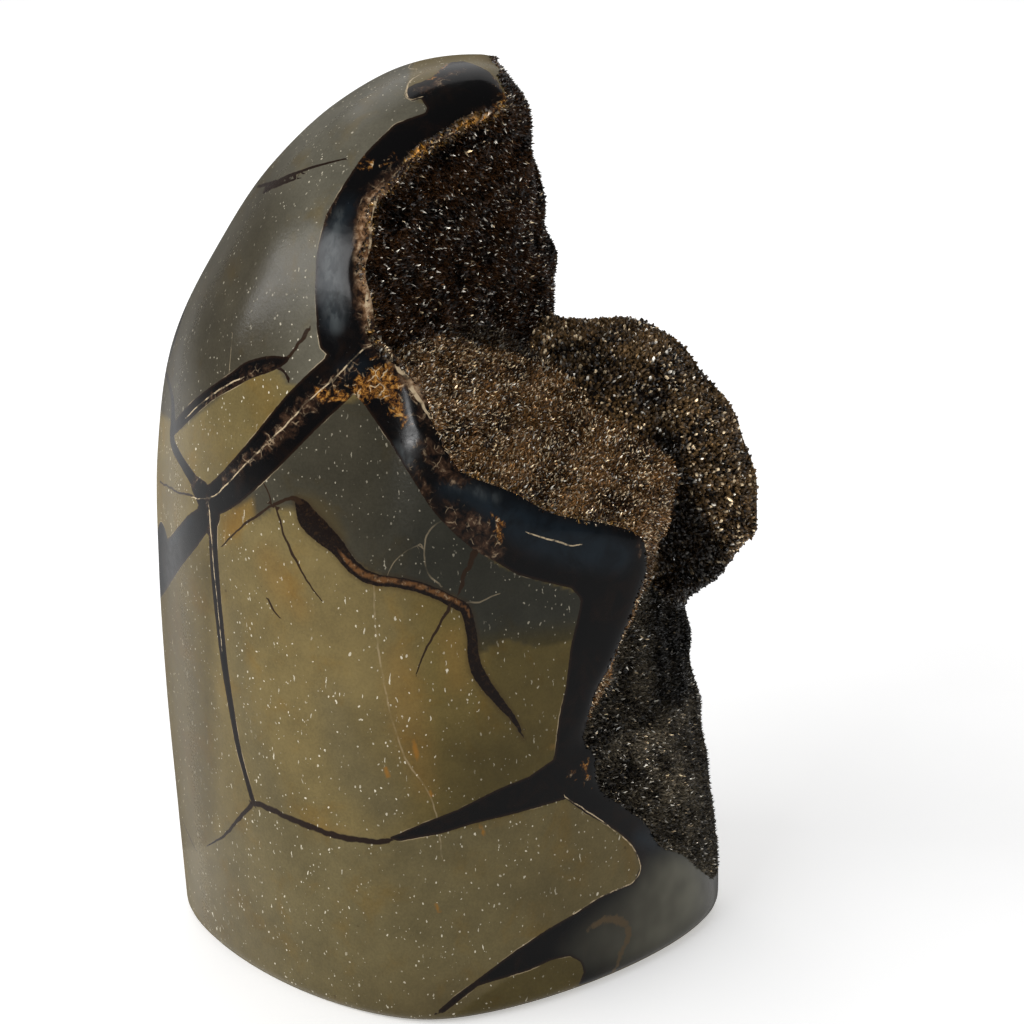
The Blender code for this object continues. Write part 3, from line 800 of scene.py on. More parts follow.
def drawn_in(points, over, level):
    """Draws points of the ground form in until they stand at a level of the blocks.

    Beside the rim they go straight in, down the slope of the blocks' measure, and further out
    they turn towards the blocks' heart. Each step is a share of the measure that is left, and the
    last few go down the slope, for points that the heart's direction leaves short.
    """
    inward = np.array(BLOCKS_HEART) - points
    inward /= np.linalg.norm(inward, axis=1, keepdims=True)
    way = -druse_normals(points)
    way = way + (inward - way) * ease(over, *TURN_TO_HEART)[:, None]
    way /= np.linalg.norm(way, axis=1, keepdims=True)
    travelled = np.zeros(len(points))
    for _ in range(DRAW_STEPS):
        left = outside_blocks(points + travelled[:, None] * way) - level
        travelled += DRAW_SHARE * left
    points = points + travelled[:, None] * way
    for _ in range(SLOPE_STEPS):
        points = points - (outside_blocks(points) - level)[:, None] * druse_normals(points)
    return points


def rim_gaps(points, inner):
    """Distance from each inner grid point to the nearest polished neighbour; 3 mm where it has none."""
    gap = np.where(inner, NO_POLISH_NEAR, 0.0)
    for down in (-1, 0, 1):
        for across in (-1, 0, 1):
            other = np.roll(points, (down, across), axis=(0, 1))
            polished = ~np.roll(inner, (down, across), axis=(0, 1))
            apart = np.linalg.norm(points - other, axis=-1)
            gap = np.where(inner & polished, np.minimum(gap, apart), gap)
    return gap


def stone_triangles(rows, columns, over):
    """The grid's triangles, each square split along the diagonal that lies closer to the rim."""
    number = np.arange(rows * columns).reshape(rows, columns)
    a, b = number[:-1], np.roll(number, -1, axis=1)[:-1]
    d, c = number[1:], np.roll(number, -1, axis=1)[1:]
    a, b, c, d = a.ravel(), b.ravel(), c.ravel(), d.ravel()
    flat = np.abs(over.ravel())
    first = (flat[a] + flat[c] <= flat[b] + flat[d])[:, None]
    one = np.where(first, np.stack([a, b, c], 1), np.stack([a, b, d], 1))
    two = np.where(first, np.stack([a, c, d], 1), np.stack([b, c, d], 1))
    return np.concatenate([one, two])


def ring_fan(ring, tip, outward):
    """Triangles from a ring of points to one point, turned to face outwards."""
    following = np.roll(ring, -1)
    tips = np.full(len(ring), tip)
    return np.stack([ring, following, tips] if outward else [following, ring, tips], 1)


def surface_normals(form):
    """Outward unit normals of a grid: the cross product of its two running differences."""
    around = np.roll(form, -1, axis=1) - np.roll(form, 1, axis=1)
    upward = np.gradient(form, axis=0)
    normal = np.cross(around, upward)
    return normal / np.maximum(np.linalg.norm(normal, axis=-1, keepdims=True), 1e-9)


def build_stone(material):
    """The nodule: the ground form's grid, with the open side drawn in to the druse's floor."""
    azimuth, share = stone_places()
    azimuth, share, beside, over = on_rim(azimuth, share)
    over = np.where(beside, 0, over)
    form = ground_form(azimuth, share)
    normals = surface_normals(form)
    inner = over > 0
    worn = np.clip(1 + over / RIM_ROLL, 0, 1)[..., None]
    points = form - normals * RIM_DROP * (1 - np.sqrt(1 - 0.9 * worn**2))
    points[inner] = drawn_in(form[inner], over[inner], -DRUSE_FLOOR)
    gap = rim_gaps(points, inner)
    points = points.reshape(-1, 3)

    rows, columns = azimuth.shape
    triangles = [stone_triangles(rows, columns, over)]
    seat = form[0]
    middle = seat.mean(axis=0)
    extra, ring = [], np.arange(columns)
    for drawn in BASE_RINGS:
        extra.append(middle + (seat - middle) * drawn)
        inward = rows * columns + (len(extra) - 1) * columns + np.arange(columns)
        following, inward_next = np.roll(ring, -1), np.roll(inward, -1)
        triangles += [np.stack([ring, inward_next, following], 1),
                      np.stack([ring, inward, inward_next], 1)]
        ring = inward
    extra += [middle[None], ground_form(np.zeros(1), np.ones(1))]
    count = rows * columns + len(BASE_RINGS) * columns
    triangles += [ring_fan(ring, count, False),
                  ring_fan((rows - 1) * columns + np.arange(columns), count + 1, True)]
    points = np.concatenate([points, *extra])
    surface = np.concatenate([form.reshape(-1, 3), *extra])
    lower = len(points) - rows * columns
    facing = np.concatenate([normals.reshape(-1, 3), np.tile([0.0, 0.0, -1.0], (lower, 1))])
    facing[-1] = (0, 0, 1)
    mouth = np.concatenate([gap.ravel(), np.zeros(lower)])

    stone = put_in_scene("polished_stone", points, np.concatenate(triangles), material)
    stone.data.set_sharp_from_angle(angle=math.radians(SHARP_ANGLE))
    give_numbers(stone, mouth=mouth, **stone_markings(surface, facing))
    return stone, points, np.concatenate(triangles), mouth


def seen_from_eye(points, facing):
    """How far, in millimetres of fading, a point lies round the back of the eye's outline."""
    sight = eye_axes()[0] - points
    sight /= np.linalg.norm(sight, axis=1, keepdims=True)
    return np.maximum(-(facing * sight).sum(axis=1), 0) * OUTLINE_FADING


def fine_lines(points, drawn, hidden):
    """Two numbers for lines too fine for the grid: across the nearest line, and out from it.

    The first changes sign from one side of the line to the other and is one at twice its half
    width, so that a finish can tell where the line is between grid points; the second is the plain
    distance in millimetres outside it.
    """
    side, near = np.full(len(points), OFF_LINE), np.full(len(points), OFF_LINE)
    curves = [sheet_curve(corners) for corners in drawn.values()]
    curves += [hidden_curve(corners, LEAST_HIDDEN_FINE) for corners in hidden.values()]
    for line, widths in curves:
        low, high = line.min(axis=0) - LINE_MARGIN, line.max(axis=0) + LINE_MARGIN
        close = np.flatnonzero(((points > low) & (points < high)).all(axis=1))
        some = points[close]
        for start, end, first, last in zip(line[:-1], line[1:], widths[:-1], widths[1:]):
            t, offset = off_segment(some, start, end)
            wide = np.maximum(first + (last - first) * t, LEAST_FINE)
            gap = np.linalg.norm(offset, axis=1)
            hand = np.sign(offset @ np.cross(end - start, start - np.array(FORM_MIDDLE)) + 1e-9)
            nearer = gap - wide / 2 < near[close]
            chosen = close[nearer]
            near[chosen] = (gap - wide / 2)[nearer]
            side[chosen] = (gap * hand / wide)[nearer]
    return side, near


def stone_markings(points, facing):
    """Every number that the stone's finish reads, worked out from the typed lines and areas."""
    behind = seen_from_eye(points, facing)
    sheet = on_sheet(points)

    def area(outline):
        """Signed distance in millimetres to a closed outline drawn on the sheet."""
        return area_distance(sheet, outline) * SHEET_UNIT + behind

    calcite = np.minimum(sheet_lines_distance(points, CALCITE_VEINS),
                         hidden_lines_distance(points, HIDDEN_VEINS))
    for outline in CALCITE_AREAS.values():
        calcite = np.minimum(calcite, area(outline))
    fields = {"calcite": calcite}
    for name, lines in SHARP_FIELDS.items():
        fields[name] = sheet_lines_distance(points, lines)
    for name, (lines, low, high) in SOFT_FIELDS.items():
        fields[name] = ease(-sheet_lines_distance(points, lines), low, high)
    for name, (drawn, hidden) in FINE_FIELDS.items():
        fields[name + "_side"], fields[name + "_near"] = fine_lines(points, drawn, hidden)

    height, across = points[:, 2], points[:, 0]
    grey = ease(-area(GREY_AREA), -0.4, 0.4)
    grey_right = ease(sheet[:, 0], 350, 440)
    olive = ease(sheet[:, 1] + 0.12 * sheet[:, 0], 682, 715) * ease(sheet[:, 0], 455, 480)
    below = ease(sheet[:, 0], 470, 500) * ease(sheet[:, 1], 600, 640) * ease(-sheet[:, 1], -760, -660)
    ochre = ease(-area(OCHRE_AREA), -0.6, 0.8)
    back = ease(behind, 0, 8)
    upper = np.maximum(ease(-area(UPPER_AREA), -0.5, 0.5) * (1 - back),
                       ease(height, 96, 118) * back)
    lower = np.maximum(ease(-area(LOWER_AREA), -0.5, 0.5) * (1 - back),
                       ease(-height, -34, -12) * back)
    leftward = ease(-across, 22, 50)

    tone = np.tile(np.array(TONES["tan"]), (len(points), 1))

    def lay(colour, share):
        """Lays a colour over the tone, by a share for each point."""
        tone[:] = tone + (np.array(TONES[colour]) - tone) * share[:, None]

    lay("tan_bright", ease(-np.hypot(sheet[:, 0] - 330, (sheet[:, 1] - 640) * 0.8), -170, -20))
    lay("tan_warm", ease(sheet[:, 0], 385, 440) * (1 - back))
    lay("warm_patch", 0.45 * ease(-sheet_lines_distance(points, WARM_PATCHES), -3.0, 1.5))
    lay("smoky_patch", 0.35 * ease(-sheet_lines_distance(points, SMOKY_PATCHES), -3.5, 1.5))
    lay("left_panel", ease(-sheet[:, 0], -222, -206) * ease(sheet[:, 1], 520, 560) * (1 - back))
    lay("lower", lower)
    lay("lower_left", lower * leftward)
    lay("lower_right", lower * ease(sheet[:, 0], 430, 600))
    lay("lower_foot", lower * ease(-height, -15, -1) * ease(across, -30, 0) * (1 - back))
    lay("olive", 0.6 * below * (1 - back))
    low_right = ease(sheet[:, 0], 400, 480) * ease(sheet[:, 1], 690, 760)
    lay("olive", 0.75 * low_right * (1 - lower) * (1 - back))
    lay("grey", grey)
    lay("grey_right", grey * grey_right)
    lay("olive", grey * olive)
    lay("ochre", ochre)
    lay("upper", upper)
    lay("upper_right", upper * ease(sheet[:, 0], 250, 320) * (1 - back))
    lay("far_side", back * (1 - upper) * (1 - lower))
    smoky = ease(-area(SMOKY_CALCITE), -3.5, 2.5) * (0.3 + 0.7 * ease(sheet[:, 0], 585, 675))
    return {**fields, "tone": tone, "smoke": smoky}


def crystal_grid(kind):
    """One crystal's corners and triangles, about a unit wide and high, its foot at nought.

    A point is the corner of a rhomb, three slanting faces on a triangle; a nail head is a six-sided
    prism whose shoulders rise and fall in turn below three slanting faces.
    """
    if kind == "point":
        turn = np.arange(3) * math.tau / 3
        ring = np.stack([np.cos(turn) * 0.62, np.sin(turn) * 0.62, 0 * turn], axis=1)
        faces = [[0, 2, 1], [0, 1, 3], [1, 2, 3], [2, 0, 3]]
        return np.concatenate([ring, [[0, 0, 1]]]), np.array(faces), np.array([0, 0, 0, 1.0])
    turn = np.arange(6) * math.pi / 3
    ring = np.stack([np.cos(turn) / 2, np.sin(turn) / 2, np.zeros(6)], axis=1)
    base = [[0, 2, 1], [0, 3, 2], [0, 4, 3], [0, 5, 4]]
    shoulder = ring * [0.9, 0.9, 1] + np.stack([0 * turn, 0 * turn, 0.66 + 0.13 * np.cos(3 * turn)], 1)
    corners = np.concatenate([ring, shoulder, [[0, 0, 1]]])
    sides = [[i, (i + 1) % 6, 6 + (i + 1) % 6] for i in range(6)]
    sides += [[i, 6 + (i + 1) % 6, 6 + i] for i in range(6)]
    sides += [[6 + i, 6 + (i + 1) % 6, 12] for i in range(6)]
    return corners, np.array(base + sides), np.array([0] * 6 + [0.75] * 6 + [1.0])


def scattered(points, triangles, spacing, chance):
    """Points spread evenly by area over triangles."""
    a, b, c = points[triangles[:, 0]], points[triangles[:, 1]], points[triangles[:, 2]]
    size = np.linalg.norm(np.cross(b - a, c - a), axis=1)
    total = np.cumsum(size / 2)
    count = int(total[-1] / spacing**2)
    marks = (np.arange(count) + chance.uniform(0, 1, count)) * (total[-1] / count)
    chosen = np.minimum(np.searchsorted(total, marks), len(triangles) - 1)
    u, v = chance.uniform(0, 1, (2, count, 1))
    fold = u + v > 1
    u, v = np.where(fold, 1 - u, u), np.where(fold, 1 - v, v)
    return a[chosen] + u * (b - a)[chosen] + v * (c - a)[chosen]


def build_druse(name, places, material, chance, kind, width, height, lean, droop):
    """One area's crystals: a crystal shape set on each place, turned, leant and sized by chance."""
    corners, triangles, tips = crystal_grid(kind)
    count = len(places)
    upright = druse_normals(places)
    upright = upright + chance.normal(0, lean, (count, 3)) + np.array(droop)
    upright /= np.linalg.norm(upright, axis=1, keepdims=True)
    side = np.cross(upright, [0.31, 0.83, 0.46])
    side /= np.linalg.norm(side, axis=1, keepdims=True)
    other = np.cross(upright, side)
    turn = chance.uniform(0, 2 * math.pi, (count, 1))
    side, other = (side * np.cos(turn) + other * np.sin(turn),
                   other * np.cos(turn) - side * np.sin(turn))
    wide = chance.uniform(*width, (count, 1))
    rim = ease(-sheet_lines_distance(places, GOLD_RIMS), -2.6, 0.2)[:, None]
    lump = ease(-sheet_lines_distance(places, GOLD_LUMPS), -1.5, 0.2)[:, None]
    wide = wide * (1 + 0.9 * lump)
    tall = chance.uniform(*height, (count, 1)) * np.sqrt(wide / np.mean(width)) * (1 - 0.4 * rim)
    above = np.clip(outside_blocks(places) + DRUSE_FLOOR - 0.1, 0, 0.4)[:, None]
    places = places - above * upright
    proud = np.maximum(outside_ground(places + (tall - CRYSTAL_ROOT) * upright) + 0.1, 0)[:, None]
    tall = np.maximum(tall - 1.2 * proud, CRYSTAL_LEAST)
    frame = np.stack([side * wide, np.cross(upright, side) * wide, upright * tall], axis=1)
    points = places[:, None] - CRYSTAL_ROOT * upright[:, None] + corners @ frame
    points = np.minimum(points, DRUSE_LIMITS[1])
    points = np.maximum(points, DRUSE_LIMITS[0])
    steps = np.arange(count)[:, None, None] * len(corners)
    faces = (triangles + steps).reshape(-1, 3)
    druse = put_in_scene(name, points.reshape(-1, 3), faces, material, smooth=False)
    # Painted shade in the nooks and painted light on the lit faces, laid into each crystal's tone.
    tone = druse_tones(name, places, rim, chance) * painted_druse_light(name, places)[:, None]
    tone += (np.array(TONES["gold_lump"]) - tone) * lump * chance.uniform(0.2, 1, (count, 1))
    shade = np.repeat(tone, len(corners), axis=0)
    # Painted sparkle: a random brightness for each corner.
    shade *= chance.lognormal(0, SHADE_SPREAD, (len(shade), 1))
    give_numbers(druse, tone=shade, tip=np.tile(tips, count),
                 luck=np.repeat(chance.uniform(0, 1, count), len(corners)))
    return druse


def painted_druse_light(name, places):
    """Painted shade and light: the share of its area's light that each crystal has, from the lines of
    shaded nooks and lit faces.
    """
    sheet = on_sheet(places)
    light = np.ones(len(places))
    for area, share, edge, line in PAINTED_DRUSE_SHADE:
        if area == name:
            line = np.array(line, float)
            gap = line_distance(sheet, line[:, :2], line[:, 2])
            light *= 1 + (share - 1) * ease(-gap, -edge, edge / 2)
    return light


def druse_tones(name, places, rim, chance):
    """Each crystal's colour: its area's own, greyed or warmed in patches, some painted white as glints and
    some cream as highlights, gold beside the rim.
    """
    low, high = DRUSE_TONES[name]
    patch = 0.5 + 0.5 * lumps(places * 1.7) / (LUMP_HEIGHT * 1.6)
    share = np.clip(patch * 0.7 + chance.uniform(-0.35, 0.65, len(places)), 0, 1)[:, None]
    tone = np.array(low) + (np.array(high) - np.array(low)) * share
    # Painted glints: a share of the crystals are white, and a share cream.
    pale = (chance.uniform(0, 1, len(places)) < PAINTED_GLINT_SHARE[name])[:, None]
    tone = np.where(pale, np.array(TONES["painted_glint"]), tone)
    cream_highlight = (chance.uniform(0, 1, len(places)) < CREAM_HIGHLIGHT_SHARE[name])[:, None]
    tone = np.where(cream_highlight, np.array(TONES["cream"]), tone)
    gold = rim * chance.uniform(0.2, 1, (len(places), 1))
    kind = chance.uniform(0, 1, (len(places), 1))
    hue = np.where(kind < 0.30, np.array(TONES["gold"]), np.array(TONES["amber_brown"]))
    hue = np.where(kind > 0.80, np.array(TONES["cream"]), hue)
    return tone + (hue - tone) * gold


# --- finishes ---

class Finish:
    """A material's nodes, with short ways to add one and wire it."""

    def __init__(self, name):
        self.material = bpy.data.materials.new(name)
        self.material.use_nodes = True
        self.nodes, self.links = self.material.node_tree.nodes, self.material.node_tree.links
        self.shader = self.nodes["Principled BSDF"]
        self.place = self.nodes.new("ShaderNodeTexCoord").outputs["Object"]

    def wire(self, source, socket):
        """Puts a node's output, a number or a colour into a socket."""
        if isinstance(source, bpy.types.NodeSocket):
            self.links.new(source, socket)
        elif isinstance(source, (tuple, list)) and len(source) == 3 and socket.type == "RGBA":
            socket.default_value = (*source, 1)
        else:
            socket.default_value = source

    def add(self, kind, wired, **settings):
        """A new node with its settings, and with sources or values put into its named inputs."""
        node = self.nodes.new("ShaderNode" + kind)
        for name, value in settings.items():
            setattr(node, name, value)
        for name, source in wired.items():
            self.wire(source, node.inputs[name])
        return node

    def maths(self, operation, first, second=0.0, third=0.0):
        """One sum on up to three numbers or outputs."""
        node = self.add("Math", {}, operation=operation)
        for source, socket in zip((first, second, third), node.inputs):
            self.wire(source, socket)
        return node.outputs[0]

    def times(self, first, second):
        """The product of two numbers or outputs."""
        return self.maths("MULTIPLY", first, second)

    def field(self, name, output="Fac"):
        """A number or colour stored on the mesh's points."""
        return self.add("Attribute", {}, attribute_name=name).outputs[output]

    def slant(self):
        """Nought where the surface is seen square on, one where it is seen edge on."""
        return self.add("LayerWeight", {}).outputs["Facing"]

    def turned(self, scale=(1, 1, 1), rotation=(0, 0, 0), place=None):
        """Places stretched and turned, so that a pattern on them runs another way."""
        wired = {"Vector": place or self.place, "Scale": scale, "Rotation": rotation}
        return self.add("Mapping", wired).outputs[0]

    def noise(self, size, detail=2.0, roughness=0.5, distortion=0.0, place=None, output="Fac"):
        """Noise whose features are about size millimetres wide."""
        wired = {"Vector": place or self.place, "Scale": 1 / (size * MM), "Detail": detail,
                 "Roughness": roughness, "Distortion": distortion}
        return self.add("TexNoise", wired).outputs[output]

    def cells(self, size, place=None):
        """Cells about size millimetres wide: the distance to each one's heart, and its own chance."""
        node = self.add("TexVoronoi", {"Vector": place or self.place, "Scale": 1 / (size * MM)})
        chance = self.add("SeparateColor", {"Color": node.outputs["Color"]})
        return node.outputs["Distance"], chance.outputs[0], chance.outputs[1]

    def borders(self, size, place=None):
        """Distance to the border between cells about size millimetres wide, as a share of one."""
        wired = {"Vector": place or self.place, "Scale": 1 / (size * MM)}
        return self.add("TexVoronoi", wired, feature="DISTANCE_TO_EDGE").outputs["Distance"]

    def stirred(self, size, reach):
        """Object places pushed about by noise: its size and its reach in millimetres."""
        node = self.add("VectorMath", {}, operation="MULTIPLY_ADD")
        self.wire(self.noise(size, 2, 0.5, output="Color"), node.inputs[0])
        node.inputs[1].default_value = (reach * MM, reach * MM, reach * MM)
        self.wire(self.place, node.inputs[2])
        return node.outputs[0]

    def rise(self, value, low, high, bottom=0.0, top=1.0):
        """Goes smoothly from bottom to top as a value goes from low to high."""
        wired = {"Value": value, "From Min": low, "From Max": high, "To Min": bottom, "To Max": top}
        return self.add("MapRange", wired, interpolation_type="SMOOTHSTEP").outputs[0]

    def blend(self, share, first, second, how="MIX"):
        """The first colour with a share of the second laid over it."""
        node = self.add("Mix", {}, data_type="RGBA", blend_type=how)
        sockets = [socket for socket in node.inputs if socket.enabled]
        for source, socket in zip((share, first, second), sockets):
            self.wire(source, socket)
        return next(socket for socket in node.outputs if socket.enabled)

    def ramp(self, value, *stops):
        """A colour ramp from (place, colour) stops."""
        node = self.add("ValToRGB", {"Fac": value})
        marks = node.color_ramp.elements
        while len(marks) < len(stops):
            marks.new(0.5)
        for mark, (place, colour) in zip(marks, stops):
            mark.position = place
            mark.color = (*colour, 1)
        return node.outputs[0]

    def fine_line(self, name, wander=1.8):
        """One on a line finer than the grid, from its two stored numbers, with ragged sides."""
        drift = self.maths("MULTIPLY_ADD", self.noise(2.2, 1.5, 0.5), wander, -wander / 2)
        side = self.maths("ADD", self.field(name + "_side"), drift)
        across = self.rise(self.maths("ABSOLUTE", side), 0.62, 0.38)
        return self.times(across, self.rise(self.field(name + "_near"), 0.6, 0.3))

    def bump(self, height, distance, normal=None):
        """A relief of distance millimetres for a height of one."""
        wired = {"Height": height, "Distance": distance * MM}
        if normal:
            wired["Normal"] = normal
        return self.add("Bump", wired).outputs[0]

    def surface(self, **sockets):
        """Wires the shader's sockets, named with _ for a space, and gives the material."""
        for name, source in sockets.items():
            self.wire(source, self.shader.inputs[name.replace("_", " ")])
        return self.material


def mudstone_colour(f, mottle, grain, cloud):
    """Clouded, grained mudstone with pale flecks, dark specks and rusty spots; and the flecks."""
    shade = f.times(f.rise(grain, 0.25, 0.75, 0.91, 1.09), f.rise(mottle, 0.2, 0.8, 0.90, 1.10))
    shade = f.times(shade, f.rise(cloud, 0.25, 0.75, 0.88, 1.12))
    mud = f.blend(1.0, f.field("tone", "Color"), shade, "MULTIPLY")
    warm = f.rise(f.noise(9.0, 4, 0.6, 0.4), 0.50, 0.72, 0.0, 0.7)
    mud = f.blend(warm, mud, (1.06, 0.90, 0.60), "MULTIPLY")
    stirred = f.stirred(1.2, 0.9)

    distance, chance, _ = f.cells(9.0, stirred)
    rust = f.rise(f.maths("SUBTRACT", f.rise(chance, 0.70, 1.0, 0.0, 0.12), distance), 0.0, 0.09)
    mud = f.blend(f.times(rust, 0.6), mud, TONES["rust"])
    distance, chance, _ = f.cells(SPECK_CELL, stirred)
    speck = f.rise(f.maths("SUBTRACT", f.rise(chance, 0.93, 1.0, 0.0, 0.17), distance), 0.0, 0.05)
    mud = f.blend(f.times(speck, 0.45), mud, TONES["speck"])
    flecks = None
    for size, rarity, width, stretch, turn in FLECKS:
        distance, chance, shine = f.cells(size, f.turned((1, 1, stretch), turn, stirred))
        radius = f.rise(chance, rarity, 1.0, 0.0, width)
        fleck = f.rise(f.maths("SUBTRACT", radius, distance), 0.0, 0.05)
        fleck = f.times(fleck, f.rise(shine, 0.0, 0.8, 0.35, 1.0))
        flecks = fleck if flecks is None else f.maths("MAXIMUM", flecks, fleck)
    flecks = f.times(flecks, f.rise(f.noise(12.0, 2), 0.35, 0.55, 0.45, 1.0))
    flecks = f.times(flecks, f.rise(f.field("tone", "Color"), 0.03, 0.11, 0.45, 1.0))
    return f.blend(flecks, mud, TONES["fleck"]), flecks


def polished_finish():
    """Ground and polished nodule: grained mudstone, black and amber calcite, brown and pale veins."""
    f = Finish("polished_mudstone")
    grain = f.noise(0.45, 3, 0.6)
    mottle = f.noise(3.5, 3, 0.55)
    mud, flecks = mudstone_colour(f, mottle, grain, f.noise(16.0, 2, 0.5))
    wobble = f.maths("MULTIPLY_ADD", f.noise(1.1, 3, 0.6), 0.7, -0.35)

    def uneven(name, share):
        """A stored distance, pushed about by a share of the wobble."""
        return f.maths("ADD", f.field(name), f.times(wobble, share))

    def clouded(name, reach, offset):
        """A stored distance, pushed about by the patches."""
        return f.maths("ADD", f.field(name), f.maths("MULTIPLY_ADD", patches, reach, offset))

    mud = f.blend(f.rise(f.maths("ADD", f.field("stain"), wobble), 0.25, -0.2, 0.0, 0.8), mud,
                  TONES["stain"])
    faint = f.times(f.fine_line("faint"), f.rise(f.noise(3.0, 3), 0.38, 0.62, 0.03, 0.24))
    mud = f.blend(faint, mud, TONES["cream"])

    # Brown veins with a dark body and, in part, a paler heart.
    brown = uneven("brown", 0.6)
    vein = f.blend(f.rise(f.noise(0.8, 3, 0.7, 1.0), 0.48, 0.80), TONES["vein_dark"], TONES["vein_brown"])
    heart = uneven("heart", 0.9)
    pale = f.blend(f.rise(f.noise(0.9, 4, 0.7, 0.6), 0.54, 0.74, 0.0, 0.5), TONES["vein_heart"],
                   TONES["cream"])
    vein = f.blend(f.rise(heart, 0.15, -0.25, 0.0, 0.9), vein, pale)
    mud = f.blend(f.times(f.field("halo"), 0.8), mud, TONES["vein_halo"])
    mud = f.blend(f.rise(brown, 0.9, 0.0, 0.0, 0.35), mud, TONES["vein_brown"])
    colour = f.blend(f.rise(brown, 0.05, -0.05), mud, vein)
    colour = f.blend(f.fine_line("brown"), colour, TONES["vein_fine"])

    # Black calcite, bluish in places with painted sheen, hazed with a painted reflection, brown at its
    # edge, smoky grey at the foot.
    calcite = uneven("calcite", 0.35)
    inside = f.rise(calcite, 0.04, -0.04)
    patches = f.noise(2.4, 4, 0.65, 1.2)
    depths = f.noise(4.5, 4, 0.6, 0.6)
    dark = f.blend(f.rise(depths, 0.45, 0.75, 0.0, 0.8), TONES["calcite_black"], TONES["calcite_brown"])
    # Bluish tint with painted sheen over the black calcite.
    tint_and_sheen = f.times(f.field("sheen"), f.rise(depths, 0.30, 0.62, 0.4, 1.0))
    dark = f.blend(tint_and_sheen, dark, TONES["calcite_blue"])
    # Painted reflection: a pale streaky haze on the black calcite.
    streaks = f.noise(1.3, 3, 0.6, 0.3, f.turned((1, 1, 0.35), (0, 0.6, 0)))
    painted_haze = f.times(f.field("painted_haze"), f.rise(streaks, 0.36, 0.62, 0.25, 1.0))
    dark = f.blend(painted_haze, dark, TONES["calcite_painted_haze"])
    smoke = f.blend(f.rise(f.noise(11.0, 2), 0.35, 0.65), TONES["smoke_deep"], TONES["smoke"])
    dark = f.blend(f.field("smoke"), dark, smoke)
    dark = f.blend(f.rise(calcite, -0.60, -0.1, 0.0, 0.85), dark, TONES["calcite_edge"])

    # Brown calcite, finely grained, with cream threads between its cells, and gold calcite.
    net = f.stirred(1.6, 1.5)
    threads = f.times(f.rise(f.borders(1.7, net), 0.07, 0.015),
                      f.rise(f.noise(2.4, 3), 0.47, 0.60))
    mottles = f.noise(1.5, 5, 0.62, 0.4)
    brown_cells = f.ramp(mottles, (0.36, TONES["calcite_black"]), (0.50, TONES["umber"]),
                         (0.62, TONES["umber_pale"]), (0.76, TONES["thread"]))
    brown_cells = f.blend(f.times(threads, 0.6), brown_cells, TONES["thread"])
    umber = clouded("umber", 6.5, -3.1)
    dark = f.blend(f.rise(umber, 0.6, -1.2, 0.0, 0.9), dark, brown_cells)
    # Rosy calcite at the rim; its pale cream stops are partly a painted highlight.
    rosy = f.ramp(mottles, (0.38, TONES["umber"]), (0.50, TONES["rosy"]), (0.60, TONES["rosy_pale"]),
                  (0.72, TONES["cream"]))
    dark = f.blend(f.times(f.field("rosy"), f.rise(patches, 0.32, 0.52, 0.35, 0.95)), dark, rosy)
    clots = f.noise(0.75, 6, 0.75, 0.6)
    bands = f.ramp(clots, (0.40, TONES["calcite_black"]), (0.48, TONES["amber_brown"]),
                   (0.56, TONES["amber"]), (0.65, TONES["gold"]), (0.76, TONES["cream"]))
    bands = f.blend(f.times(threads, 0.8), bands, TONES["cream"])
    amber = clouded("amber", 7.5, -3.5)
    dark = f.blend(f.rise(amber, 0.5, -0.8), dark, bands)
    ragged = uneven("ragged", 2.6)
    dark = f.blend(f.rise(ragged, 0.3, -0.3, 0.0, 0.8), dark, TONES["ragged_tan"])
    colour = f.blend(inside, colour, dark)
    colour = f.blend(f.fine_line("dark", 0.9), colour, TONES["calcite_edge"])

    # A hair of cream beside some calcite, and the pale seams, the one on the shelf's rim partly a painted
    # highlight.
    broken = f.rise(f.noise(1.6, 3, 0.6), 0.40, 0.58, 0.10, 1.0)
    edge = f.times(f.rise(f.maths("ABSOLUTE", f.maths("SUBTRACT", calcite, 0.06)), 0.1, 0.03),
                   f.rise(f.noise(7.0, 2), 0.52, 0.68))
    colour = f.blend(f.times(edge, 0.45), colour, TONES["cream"])
    seam = f.times(f.fine_line("seam"), broken)
    colour = f.blend(f.times(seam, 0.8), colour, TONES["cream"])

    # The broken edge of the open side, and the dark floor under the crystals.
    mouth = uneven("mouth", 0.5)
    broken_rim = f.blend(f.rise(patches, 0.48, 0.62), TONES["amber_brown"], TONES["cream"])
    colour = f.blend(f.rise(mouth, 0.10, 0.20), colour, broken_rim)
    colour = f.blend(f.rise(mouth, 0.40, 0.65), colour, TONES["druse_floor"])

    smooth = f.rise(grain, 0.2, 0.8, 0.17, 0.27)
    rough = f.maths("ADD", smooth, f.times(flecks, 0.12))
    rough = f.blend(inside, rough, f.rise(patches, 0.3, 0.7, 0.09, 0.17))
    rough = f.blend(f.rise(mouth, 0.1, 0.4), rough, (0.6, 0.6, 0.6))
    rough = f.blend(f.rise(f.slant(), 0.60, 0.95, 0.0, 0.8), rough, (0.7, 0.7, 0.7))
    relief = f.times(grain, f.maths("SUBTRACT", 1.0, f.times(inside, 0.85)))
    relief = f.maths("ADD", relief, f.times(flecks, -0.5))
    normal = f.bump(relief, 0.018)
    normal = f.bump(f.noise(9.0, 2, 0.4), 0.10, normal)
    return f.surface(Base_Color=colour, Roughness=rough, Normal=normal, Specular_IOR_Level=0.10)


